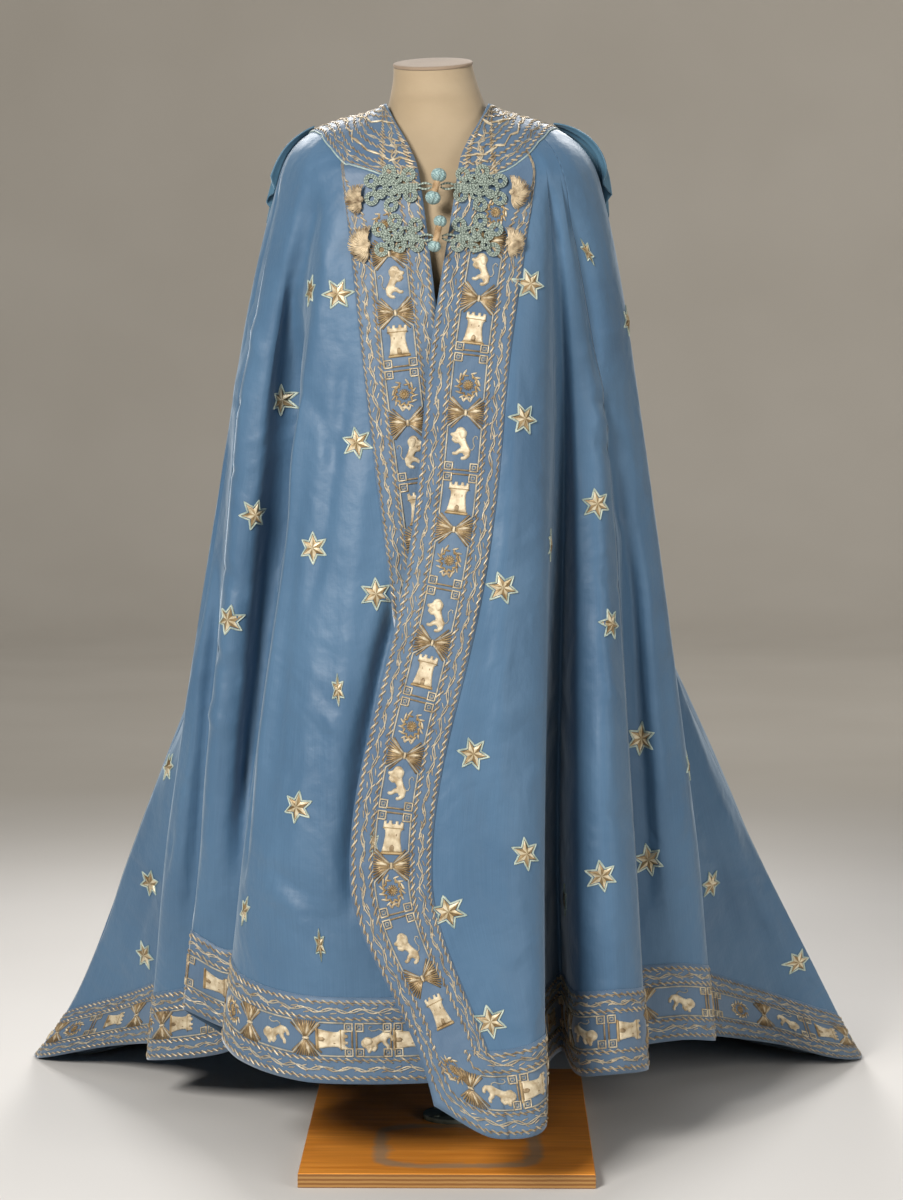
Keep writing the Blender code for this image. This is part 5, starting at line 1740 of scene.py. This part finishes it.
# The frogs, toggles and tassels, as the part's source has them, in millimetres.
Disc = namedtuple("Disc", "out up radius")
UPPER_RINGS = (
    Disc(31, 9, 8), Disc(6, 22, 8), Disc(-21, 17, 8), Disc(30, -16, 8), Disc(-24, -12, 8),
    Disc(3, -25, 8),
)
LOWER_RINGS = (
    Disc(27, 12, 8), Disc(5, 24, 8), Disc(-24, 18, 8), Disc(-26, -10, 8), Disc(23, -16, 8),
)
UPPER_KNOTS = (
    Disc(3, -1, 11), Disc(-12, 3, 9), Disc(19, -3, 9), Disc(8, 8, 7), Disc(-3, -11, 7),
    Disc(14, 11, 6), Disc(-14, -3, 6), Disc(17, -10, 6), Disc(-6, 11, 6), Disc(4, 0, 6),
)
LOWER_KNOTS = (
    Disc(0, -8, 11), Disc(-10, 6, 9), Disc(10, 4, 9), Disc(0, 10, 7), Disc(-12, -6, 7),
    Disc(12, -10, 6), Disc(-3, -14, 6), Disc(17, 3, 6), Disc(0, 1, 6), Disc(-17, 3, 6),
)
Frog = namedtuple("Frog", "x z side tongue_end rings knots")
FROGS = {
    "frog_upper_left": Frog(-77, 1365, -1, -23.5, UPPER_RINGS, UPPER_KNOTS),
    "frog_upper_right": Frog(40, 1365, 1, -11.5, UPPER_RINGS, UPPER_KNOTS),
    "frog_lower_left": Frog(-70, 1294, -1, -21.5, LOWER_RINGS, LOWER_KNOTS),
    "frog_lower_right": Frog(38, 1294, 1, -9.5, LOWER_RINGS, LOWER_KNOTS),
}
FROG_LIFT = 3.0 * MM
FROG_CORD = 1.12 * MM
RING_CORDS = (-3.1, -1.0, 1.1)
KNOT_CORDS = (-2.2, 0.0)
TONGUE_ROOT = 8
TONGUE_EYE = 19
TONGUE_STEPS = 20
Toggle = namedtuple("Toggle", "top_x top_z foot_x foot_z y")
TOGGLES = {
    "toggle_upper": Toggle(-14, 1379, -22, 1348, -163),
    "toggle_lower": Toggle(-12, 1315, -20, 1281, -172),
}
Tassel = namedtuple("Tassel", "head_x z side length")
TASSELS = {
    "tassel_upper_left": Tassel(-122, 1348, -1, 23),
    "tassel_upper_right": Tassel(87, 1358, 1, 25),
    "tassel_lower_left": Tassel(-112, 1285, -1, 28),
    "tassel_lower_right": Tassel(82, 1288, 1, 23),
}


def top_of_edge(front, reach=0.0, count=1):
    """Ribs and alongs of the upper end of a front panel, from its edge inwards."""
    way = 1 if front is LEFT else -1
    ribs = front.edge + way * np.linspace(0, reach, count)
    return np.meshgrid(ribs, np.linspace(0.0, 0.4, 81), indexing="ij")


def front_depth(x, z, front):
    """The cloth's depth and its normal's share towards the front, at points of a front panel."""
    ribs, alongs = top_of_edge(front, 1.6, 33)
    points = cloth(ribs, alongs)
    normals = outward(ribs, alongs)
    sign = -1 if front is LEFT else 1
    found = []
    for x_here, z_here in zip(x, z):
        rows = [
            [
                np.interp(-z_here, -path[:, 2], values)
                for path, values in zip(points, table)
            ]
            for table in (points[..., 0], points[..., 1], normals[..., 1])
        ]
        across = sign * np.array(rows[0])
        found.append([np.interp(sign * x_here, across, row) for row in rows[1:]])
    depth, facing = np.array(found).T
    return depth, np.maximum(-facing, 0.5)


def edge_x(z, front):
    """Where a front edge is at these heights, a little inside the cloth."""
    path = cloth(*top_of_edge(front))[0]
    inside = -2 * MM if front is LEFT else 2 * MM
    return np.interp(-z, -path[:, 2], path[:, 0]) + inside


def loop_path(x, z, radius, start):
    """A round path of cord, in millimetres."""
    count = max(12, int(radius * 2.4))
    path = []
    for step in range(count + 1):
        a = start + 2 * math.pi * step / count
        path.append((x + radius * math.cos(a), z + radius * math.sin(a)))
    return path


def frog_paths(frog):
    """The flat paths of a frog's cords, in millimetres, and how high each lies."""
    paths = []
    heights = []
    for discs, radii, spin in ((frog.rings, RING_CORDS, 0.7), (frog.knots, KNOT_CORDS, 1.3)):
        for n, disc in enumerate(discs):
            x = frog.x + frog.side * disc.out
            z = frog.z + disc.up
            for k, radius in enumerate(radii):
                paths.append(loop_path(x, z, disc.radius + radius, spin * n + k))
                ring = 0.5 - 0.25 * abs(k - 1)
                heights.append(ring if discs is frog.rings else 0.9 + 0.9 * (n % 3))
    root = frog.x - frog.side * TONGUE_ROOT
    lens = frog.tongue_end + frog.side * TONGUE_EYE
    for lift in (-1, 1):
        for shift in (0.0, 2.1):
            path = []
            for step in range(TONGUE_STEPS + 1):
                share = step / TONGUE_STEPS
                x = root + (frog.tongue_end - root) * share
                bulge = np.clip((x - lens) / (frog.tongue_end - lens), 0, 1)
                wide = 1.1 + (3.6 - shift * 0.5) * math.sin(math.pi * bulge) ** 0.8
                path.append((x, frog.z + lift * (wide + (0 if bulge > 0 else shift))))
            paths.append(path)
            heights.append(0.9)
    return paths, heights


def make_frog(stock, name, frog):
    """Rings of braided cord round a knot of loops, and a doubled tongue out to the toggle."""
    paths, heights = frog_paths(frog)
    solid = []
    for path, height in zip(paths, heights):
        wave = [0.7 * math.sin(i * 0.9 + height * 3) for i in range(len(path))]
        solid.append([(x * MM, z * MM, (height + w) * MM) for (x, z), w in zip(path, wave)])
    points, faces, lie = grown(stock.cords, solid, {"Radius": FROG_CORD, "Sides": 6})
    front = LEFT if frog.side < 0 else RIGHT
    x, z = points[:, 0], points[:, 1]
    edge = edge_x(z, front)
    within = np.minimum(x, edge) if front is LEFT else np.maximum(x, edge)
    keys = np.round(np.stack([within, z], axis=1) / (2 * MM)).astype(int)
    unique, which = np.unique(keys, axis=0, return_inverse=True)
    depth, facing = front_depth(*(unique.T * 2 * MM), front)
    which = which.reshape(-1)
    depth, facing = depth[which], facing[which]
    beyond = np.minimum(4 * MM, np.abs(x - within) * 0.5)
    y = depth - (points[:, 2] + FROG_LIFT + FROG_CORD * 0.6) / facing - beyond
    laid = np.stack([x, y, z], axis=1) + AXIS
    made = make_piece(name + "_cord", laid, [f[::-1] for f in faces], [FROG_BRAID], lie)
    dress(made, name)


def turned_shape(profile, sides, lobes=0, depth=0.0):
    """Points and faces of a shape turned about Z, with lobes round it where asked."""
    points = []
    lie = []
    for height, radius in profile:
        for a in around(sides):
            r = radius * (1 + depth * math.cos(lobes * a))
            points.append((r * math.cos(a), r * math.sin(a), height))
            lie.append((radius * a, height))
    return np.array(points), ring_faces(0, len(profile), sides), np.array(lie)


def ball(size, first, last, count):
    """The profile of a ball, cut off between two shares of half a turn."""
    turns = [math.pi * (first + (last - first) * n / count) for n in range(count + 1)]
    return [(-size * math.cos(a), size * math.sin(a)) for a in turns]


def make_toggle(name, toggle):
    """A tube wound with thread between two looped knobs."""
    top = Vector((toggle.top_x, toggle.y, toggle.top_z)) * MM
    foot = Vector((toggle.foot_x, toggle.y, toggle.foot_z)) * MM
    length = (top - foot).length
    tube = []
    winds = 13
    for n in range(winds * 3 + 1):
        share = n / (winds * 3)
        bulge = 1 + 0.09 * math.cos(2 * math.pi * share * winds)
        tube.append((length * (0.12 + 0.76 * share), 4.6 * MM * bulge))
    size = (9.6 if name == "toggle_upper" else 8.2) * MM
    knob = turned_shape(ball(size, 0.06, 0.94, 8), 48, 8, 0.12)
    turn = np.array(Vector((0, 0, 1)).rotation_difference(top - foot).to_matrix()).T
    parts = []
    for shape, kind, height in ((turned_shape(tube, 20), 0, 0), (knob, 1, 0), (knob, 1, length)):
        laid = (shape[0] + (0, 0, height)) @ turn + np.array(foot) + AXIS
        parts.append(part_of(laid, *shape[1:], kind))
    joined_piece(name + "_wound", parts, [TOGGLE_THREAD, KNOB_BRAID], name)


def make_tassel(name, tassel):
    """A shell of combed locks, longest in the middle, under a small looped head."""
    chance = np.random.default_rng(len(name) + int(tassel.z))
    front = LEFT if tassel.side < 0 else RIGHT
    (depth,), (facing,) = front_depth([tassel.head_x * MM], [tassel.z * MM], front)
    head_at = np.array((tassel.head_x * MM, depth - 2.7 * MM / facing - 1.7 * MM, tassel.z * MM))
    points = []
    faces = []
    lie = []
    middle = 0 if tassel.side > 0 else math.pi
    sections = 6
    sides = 5
    width = tassel.length * 0.054
    for locks, reach, lift in ((30, 1.0, 0.4), (24, 0.88, 1.6), (16, 0.66, 2.8)):
        for n in range(locks):
            share = (n + 0.5) / locks - 0.5
            angle = middle + math.radians(182) * share + chance.uniform(-0.04, 0.04)
            length = tassel.length * reach * (1.02 - 0.1 * abs(share)) * chance.uniform(0.94, 1.0)
            faces += ring_faces(len(points), sections + 1, sides, True)
            for s in range(sections + 1):
                t = s / sections
                r = 2.0 + (length - 2.0) * t
                fat = width * (0.28 + 0.6 * math.sin(math.pi * (0.15 + 0.72 * t)))
                rise = lift + 2.3 * math.sin(math.pi * min(t * 0.9 + 0.08, 1))
                sweep = angle + 0.5 * (t - 0.6) * t * tassel.side
                for turn in around(sides):
                    a = turn + 0.3
                    side = fat * math.cos(a)
                    up = fat * 0.75 * math.sin(a)
                    x = r * math.cos(sweep) - side * math.sin(sweep)
                    z = r * math.sin(sweep) + side * math.cos(sweep)
                    points.append((x, -(rise + up + 0.4), z))
                    lie.append((fat * a * MM, r * MM))
    locks = np.array(points) * MM + head_at + AXIS
    head, head_faces, head_lie = turned_shape(ball(4.2 * MM, 0.1, 0.9, 6), 18, 6, 0.1)
    head = np.stack([head[:, 0], -head[:, 2] * 0.8 - 3.2 * MM, head[:, 1]], axis=1)
    parts = [
        part_of(locks, [f[::-1] for f in faces], np.array(lie)),
        part_of(head + head_at + AXIS, head_faces, head_lie),
    ]
    joined_piece(name + "_locks", parts, [TASSEL_THREAD], name)


HOOD_RUFFLES = 26
HOOD_FIRST_TURN = 92
HOOD_RUFFLE_STEPS = 12
HOOD_ROWS = 26
HOOD_UNDER_COLLAR = 12 * MM
HOOD_SIDE_DROP = 75 * MM
HOOD_BACK_DROP = 300 * MM
HOOD_BACK_PUFF = 20 * MM
HOOD_LIFT = 6.5 * MM


def make_hood():
    """The gathered hood that hangs behind the shoulders, with a pleated outer edge."""
    count = HOOD_RUFFLES * HOOD_RUFFLE_STEPS + 1
    turns = np.linspace(HOOD_FIRST_TURN, 360 - HOOD_FIRST_TURN, count)
    samples = np.linspace(0, 0.6, PATH_SAMPLES)
    share = np.linspace(0, 1, HOOD_ROWS + 1)
    points = np.zeros((count, HOOD_ROWS + 1, 3))
    for number, turn in enumerate(turns):
        ribs = np.full(PATH_SAMPLES, float(np.interp(turn, TURNS, PLACES)))
        path = cloth(ribs, samples)
        reached = lengths(path)
        behind = max(0.0, -math.cos(math.radians(turn)))
        side_puff = 1 * MM if turn < 180 else 9 * MM
        full_puff = side_puff + (HOOD_BACK_PUFF - side_puff) * behind**2
        drop = HOOD_SIDE_DROP + (HOOD_BACK_DROP - HOOD_SIDE_DROP) * behind**0.8
        place = collar_length(turn) - HOOD_UNDER_COLLAR + drop * share
        step = math.pi * 2 * number / HOOD_RUFFLE_STEPS
        wave = (5.3 - 1.8 * behind) * math.cos(step + 0.5 * math.sin(number * 0.09))
        crimp = 0.9 * math.cos(step * 2.6 + 1.3)
        puff = full_puff * np.sin(math.pi * share * 0.85)
        lift = HOOD_LIFT + puff + (wave + crimp) * MM * share**0.8
        normal = read_path(place, reached, outward(ribs, samples))
        points[number] = read_path(place, reached, path) + normal * lift[:, None]
    points += AXIS
    name = "hood_silk_drape"
    sheet_piece(
        name, "hood", points, 0, CLOTH_WALL, HOOD_SILK
    )


TorsoRing = namedtuple("TorsoRing", "height half_x half_y centre_x centre_y slant")
TORSO_RINGS = (
    TorsoRing(862, 98, 82, -2, 52, 0),
    TorsoRing(866, 110, 92, -2, 52, 0),
    TorsoRing(960, 122, 98, -5, 44, 0),
    TorsoRing(1080, 136, 108, -9, 28, 0),
    TorsoRing(1190, 156, 124, -12, 10, 0),
    TorsoRing(1290, 178, 131, -13, 0, 0),
    TorsoRing(1350, 190, 126, -14, 0, 0),
    TorsoRing(1395, 184, 108, -15, 0, 0),
    TorsoRing(1426, 150, 86, -16, -1, 0),
    TorsoRing(1446, 108, 70, -16, -4, 0),
    TorsoRing(1468, 80, 58, -17, -8, 0),
    TorsoRing(1488, 70.5, 55, -17, -10, 0.1),
    TorsoRing(1508, 64, 56, -19, -12, 0.4),
    TorsoRing(1530, 58.5, 53, -21, -12, 0.8),
    TorsoRing(1547, 56, 52, -23, -12, 1),
)
NECK_SLANT = 0.25
NECK_ROLL = 0.035
FORM_SIDES = 96

# The turned profiles of the pole with its flange and of a screw, as (height, radius), and
# where the pole stands.
POLE_FROM_AXIS = (5, 106)
POLE = (
    (20.3, 43), (25.2, 43), (26.6, 42.4), (27.3, 41), (27.6, 30), (28.6, 18), (32, 14.5),
    (40, 13.2), (41, 12), (450, 12), (861.7, 12),
)
SCREW = ((27.2, 4.6), (28.6, 4.4), (29.4, 3.0), (29.6, 0.6))
SCREWS_OUT = 32


def form_piece(name, rings, material, node):
    """A closed piece of oval rings, which slant like the neck's cut as far as each says."""
    points = []
    for ring in rings:
        for a in around(FORM_SIDES):
            x = ring.half_x * math.cos(a)
            y = ring.half_y * math.sin(a)
            height = ring.height + ring.slant * (NECK_SLANT * y + NECK_ROLL * x)
            points.append((ring.centre_x + x, ring.centre_y + y, height))
    faces = ring_faces(0, len(rings), FORM_SIDES)
    made = make_piece(name, np.array(points) * MM + AXIS, faces, [material])
    dress(made, node)
    return made


def make_form():
    """The limbless form, smooth under tight linen, and the darker linen on its neck's top."""
    knots = np.array([ring.height for ring in TORSO_RINGS], float)
    table = np.array([tuple(ring) for ring in TORSO_RINGS], float)
    heights = np.concatenate([np.linspace(a, b, 6)[:-1] for a, b in zip(knots, knots[1:])])
    heights = np.append(heights, knots[-1])
    rings = [TorsoRing(*row) for row in spline_weights(knots, heights) @ table]
    made = form_piece("form_linen", rings, LINEN, "torso")
    made.data.set_sharp_from_angle(angle=math.radians(50))
    top = TORSO_RINGS[-1]
    rows = ((0.3, 0.2), (1.2, 0.9), (3.8, 0.9), (4.9, 0.2), (5.3, -1.2), (5.3, -12), (5.3, -35))
    rings = [
        top._replace(height=top.height + up, half_x=top.half_x + over, half_y=top.half_y + over)
        for up, over in rows
    ]
    form_piece("neck_top", rings, CAP_LINEN, "neck_cap")


def make_stand():
    """The plywood board keeps its solid. The pole and its screwed flange are turned smooth."""
    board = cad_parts["board"]
    board.data.materials.clear()
    board.data.materials.append(PLYWOOD)
    places = [(POLE, 64, 0, 0)]
    for n in range(4):
        a = math.pi * (0.25 + 0.5 * n)
        places.append((SCREW, 16, SCREWS_OUT * math.cos(a), SCREWS_OUT * math.sin(a)))
    parts = []
    for profile, sides, x, y in places:
        shape, faces, lie = turned_shape([(h * MM, r * MM) for h, r in profile], sides)
        middle = np.array((x + POLE_FROM_AXIS[0], y + POLE_FROM_AXIS[1], 0)) * MM
        parts.append(part_of(shape + middle + AXIS, faces, lie))
    made = joined_piece("pole_and_flange", parts, [ENAMEL], "stand_pole")
    made.data.set_sharp_from_angle(angle=math.radians(40))


def woven_material(name, dark, light, scale, roughness, relief_depth):
    """Plain-woven or braided cloth on the piece itself, with slubs and soiling."""
    made, tree, shader, place = new_material(name)
    soil = noise(tree, place["Object"], {"Scale": 9, "Detail": 5})
    slubs = {"Scale": scale, "Distortion": 1.2, "Detail": 2, "Detail Scale": 2}
    warp, weft = (bands(tree, place["Object"], way, slubs)["Fac"] for way in "XZ")
    height = maths(tree, "ADD", warp, weft)
    tone = ramp(tree, soil, (0.3, dark), (0.7, light))
    look = {
        "Base Color": mixed(tree, 0.12, tone, height, "MULTIPLY"),
        "Normal": bump(tree, height, 0.4, relief_depth),
        "Roughness": roughness,
        "Specular IOR Level": 0.25,
        "Sheen Weight": 0.2,
    }
    set_inputs(tree, shader, look)
    return made


def braid_material(name, dark, light, scale):
    """Braided cord: slanting plies along the cord's own length."""
    made, tree, shader, place = new_material(name)
    slant = mapped(tree, place["UV"], Rotation=(0, 0, math.radians(38)))
    plies = bands(tree, slant, "Y", {"Scale": scale, "Distortion": 0.8})["Fac"]
    tone = maths(tree, "MULTIPLY", noise(tree, place["Object"], {"Scale": 120}), 0.45)
    tone = maths(tree, "MULTIPLY_ADD", plies, 0.6, tone)
    look = {
        "Base Color": ramp(tree, tone, (0.15, dark), (0.8, light)),
        "Normal": bump(tree, plies, 0.8, 0.0008),
        "Roughness": 0.62,
        "Metallic": 0.05,
    }
    set_inputs(tree, shader, look)
    return made


# The board's top, and the worn outline painted on it: where it lies and its half width.
BOARD_TOP = 19.2 * MM
PAINT_FROM_AXIS = (12 * MM, -50 * MM)
PAINT_HALF = 105 * MM


def plywood_material():
    """Varnished plywood: a brown face with old spray paint on it, and paler layers at its edge."""
    made, tree, shader, place = new_material("plywood")
    here = place["Object"]
    long_grain = mapped(tree, here, Scale=(3, 40, 40))
    grain = noise(tree, long_grain, {"Scale": 2.2, "Detail": 6, "Distortion": 0.6})
    face = ramp(tree, grain, (0.3, (0.66, 0.215, 0.022)), (0.7, (0.90, 0.345, 0.048)))
    layers = bands(tree, here, "Z", {"Scale": 55, "Distortion": 0.6})["Fac"]
    edge = ramp(tree, layers, (0.2, (0.22, 0.09, 0.02)), (0.75, (0.38, 0.20, 0.06)))
    height = add_node(tree, "ShaderNodeSeparateXYZ", {"Vector": here})["Z"]
    top = maths(tree, "GREATER_THAN", height, BOARD_TOP)
    wood = mixed(tree, top, edge, face)
    paint_at = [-(AXIS[k] + PAINT_FROM_AXIS[k]) for k in (0, 1)]
    centre = mapped(tree, here, Location=(*paint_at, 0))
    parts = add_node(tree, "ShaderNodeSeparateXYZ", {"Vector": centre})
    power = []
    for axis in "XY":
        share = maths(tree, "DIVIDE", maths(tree, "ABSOLUTE", parts[axis]), PAINT_HALF)
        power.append(maths(tree, "POWER", share, 5))
    smear = noise(tree, here, {"Scale": 26, "Detail": 4})
    uneven = maths(tree, "MULTIPLY_ADD", smear, 1.4, maths(tree, "ADD", *power))
    black, white = (0, 0, 0), (1, 1, 1)
    outline = ramp(
        tree,
        maths(tree, "MULTIPLY", uneven, 0.26),
        (0.30, black),
        (0.40, white),
        (0.55, white),
        (0.72, black),
    )
    on_top = maths(tree, "MULTIPLY", maths(tree, "MULTIPLY", outline, 0.55), top)
    look = {
        "Base Color": mixed(tree, on_top, wood, (0.20, 0.25, 0.21, 1)),
        "Normal": bump(tree, grain, 0.25, 0.0005),
        "Roughness": 0.38,
    }
    set_inputs(tree, shader, look)
    return made


def enamel_material():
    """Grey-green enamel over steel, scuffed through to brighter metal."""
    made, tree, shader, place = new_material("stand_steel")
    scuffs = noise(tree, place["Object"], {"Scale": 38, "Detail": 6})
    enamel = ((0.35, (0.10, 0.12, 0.10)), (0.62, (0.20, 0.23, 0.20)))
    look = {
        "Base Color": ramp(tree, scuffs, *enamel, (0.72, (0.5, 0.5, 0.48))),
        "Metallic": 0.6,
        "Roughness": 0.42,
    }
    set_inputs(tree, shader, look)
    return made


STAR_LIGHT = thread_material("star_light", (0.50, 0.38, 0.20), (0.86, 0.76, 0.55), 0.3, 0.34)
STAR_DARK = thread_material("star_dark", (0.20, 0.125, 0.05), (0.42, 0.30, 0.15), 0.35, 0.36)
STAR_CORD = thread_material("star_cord", (0.34, 0.44, 0.38), (0.66, 0.74, 0.62), 0.0, 0.55)
FROG_BRAID = braid_material("frog_cord", (0.11, 0.15, 0.13), (0.38, 0.445, 0.385), 90)
KNOB_BRAID = braid_material("knob_cord", (0.11, 0.20, 0.21), (0.36, 0.50, 0.49), 90)
TOGGLE_THREAD = thread_material("toggle_thread", (0.36, 0.22, 0.10), (0.66, 0.46, 0.26), 0.1, 0.45)
TASSEL_THREAD = thread_material("tassel_thread", (0.20, 0.135, 0.07), (0.72, 0.58, 0.38), 0.15, 0.45)
LINEN = woven_material("linen", (0.335, 0.255, 0.16), (0.39, 0.305, 0.20), 260, 0.85, 0.0003)
CAP_LINEN = woven_material("cap_linen", (0.22, 0.16, 0.11), (0.33, 0.25, 0.18), 300, 0.9, 0.0003)
PLYWOOD = plywood_material()
ENAMEL = enamel_material()


def make_camera():
    """The photographer's camera, which looks level with its view shifted down."""
    lens = bpy.data.cameras.new("camera")
    lens.lens = LENS
    lens.sensor_width = 36
    lens.shift_x = (PHOTO_WIDTH / 2 - MIDDLE_X) / PHOTO_HEIGHT
    lens.shift_y = -(PHOTO_HEIGHT / 2 - MIDDLE_Y) / PHOTO_HEIGHT
    lens.clip_start = 0.1
    lens.clip_end = 60
    camera = bpy.data.objects.new("camera", lens)
    camera.location = (AXIS[0], AXIS[1] - CAMERA_BACK, CAMERA_HEIGHT)
    camera.rotation_euler = (math.pi / 2, 0, 0)
    bpy.context.scene.collection.objects.link(camera)
    bpy.context.scene.camera = camera


# The studio, in metres: the floor's radius, the bend up into the wall and the wall's top.
FLOOR_RADIUS = 8.6
WALL_BEND = 3.2
WALL_TOP = 10.0


def make_stage():
    """A round studio: a floor that turns up into a wall, in one piece."""
    made, tree, shader, place = new_material("studio_paper")
    grain = noise(tree, place["Object"], {"Scale": 1.2})
    floor, wall = (
        ramp(tree, grain, (0.3, low), (0.7, high))
        for low, high in (
            ((0.64, 0.622, 0.598), (0.67, 0.652, 0.628)),
            ((0.50, 0.465, 0.41), (0.53, 0.495, 0.44)),
        )
    )
    reach = add_node(tree, "ShaderNodeVectorMath", {0: place["Object"]}, operation="LENGTH")
    limits = {"From Min": 1.9, "From Max": 3.7, "Value": reach["Value"]}
    rise = add_node(tree, "ShaderNodeMapRange", limits)["Result"]
    set_inputs(tree, shader, {"Base Color": mixed(tree, rise, floor, wall), "Roughness": 0.9})
    profile = [(2.0, 0.0), (FLOOR_RADIUS, 0.0)]
    for step in range(1, 13):
        a = math.radians(90 * step / 12)
        profile.append((FLOOR_RADIUS + WALL_BEND * math.sin(a), WALL_BEND * (1 - math.cos(a))))
    profile += [(FLOOR_RADIUS + WALL_BEND, height) for height in (7.0, WALL_TOP)]
    sides = 96
    points = [(0.0, 0.0, 0.0)]
    for radius, height in profile:
        points += [(radius * math.cos(a), radius * math.sin(a), height) for a in around(sides)]
    faces = [(0, 1 + i, 1 + (i + 1) % sides) for i in range(sides)]
    faces += ring_quads(1, len(profile), sides, True)
    make_piece("studio", points, faces, [made])


def add_lamp(name, place, aim, size, power, colour, spread=180):
    """A soft rectangular lamp at a place in the scene, turned to what it lights."""
    light = bpy.data.lights.new(name, "AREA")
    light.shape = "RECTANGLE"
    light.size, light.size_y = size
    light.energy = power
    light.color = colour
    light.spread = math.radians(spread)
    lamp = bpy.data.objects.new(name, light)
    lamp.location = Vector(place)
    way = Vector(aim) - Vector(place)
    lamp.rotation_euler = way.to_track_quat("-Z", "Y").to_euler()
    bpy.context.scene.collection.objects.link(lamp)


def make_lights():
    """A large soft key from the upper left in front, a weaker fill and the room's own light."""
    add_lamp("key", (-2.2, -4.4, 3.1), (0, 0, 0.9), (1.4, 1.4), 305, (1.0, 0.97, 0.93))
    add_lamp("fill", (3.4, -3.6, 2.0), (0, 0, 0.7), (2.4, 2.4), 78, (1.0, 0.98, 0.95))
    add_lamp("backdrop", (2.4, 3.5, 6.0), (2.4, 11.0, 2.0), (5.0, 2.0), 215, (1.0, 0.97, 0.93))
    for name, x in (("behind_left", -1.7), ("behind_right", 1.7)):
        add_lamp(name, (x, 4.6, 4.4), (0, 0.3, 0.8), (1.6, 1.6), 17, (1.0, 0.98, 0.96), 50)
    world = bpy.data.worlds.new("room")
    world.use_nodes = True
    room = world.node_tree.nodes["Background"]
    room.inputs["Color"].default_value = (0.95, 0.97, 1.0, 1)
    room.inputs["Strength"].default_value = 0.3
    bpy.context.scene.world = world
    bpy.context.scene.view_settings.view_transform = "Standard"


def main():
    """Builds the whole scene."""
    make_camera()
    make_stage()
    make_lights()
    make_panels()
    make_grounds()
    stock = Stock()
    make_embroidery(stock)
    make_piping(stock)
    make_stars(stock)
    for name, frog in FROGS.items():
        make_frog(stock, name, frog)
    for name, toggle in TOGGLES.items():
        make_toggle(name, toggle)
    for name, tassel in TASSELS.items():
        make_tassel(name, tassel)
    make_hood()
    make_form()
    make_stand()


main()
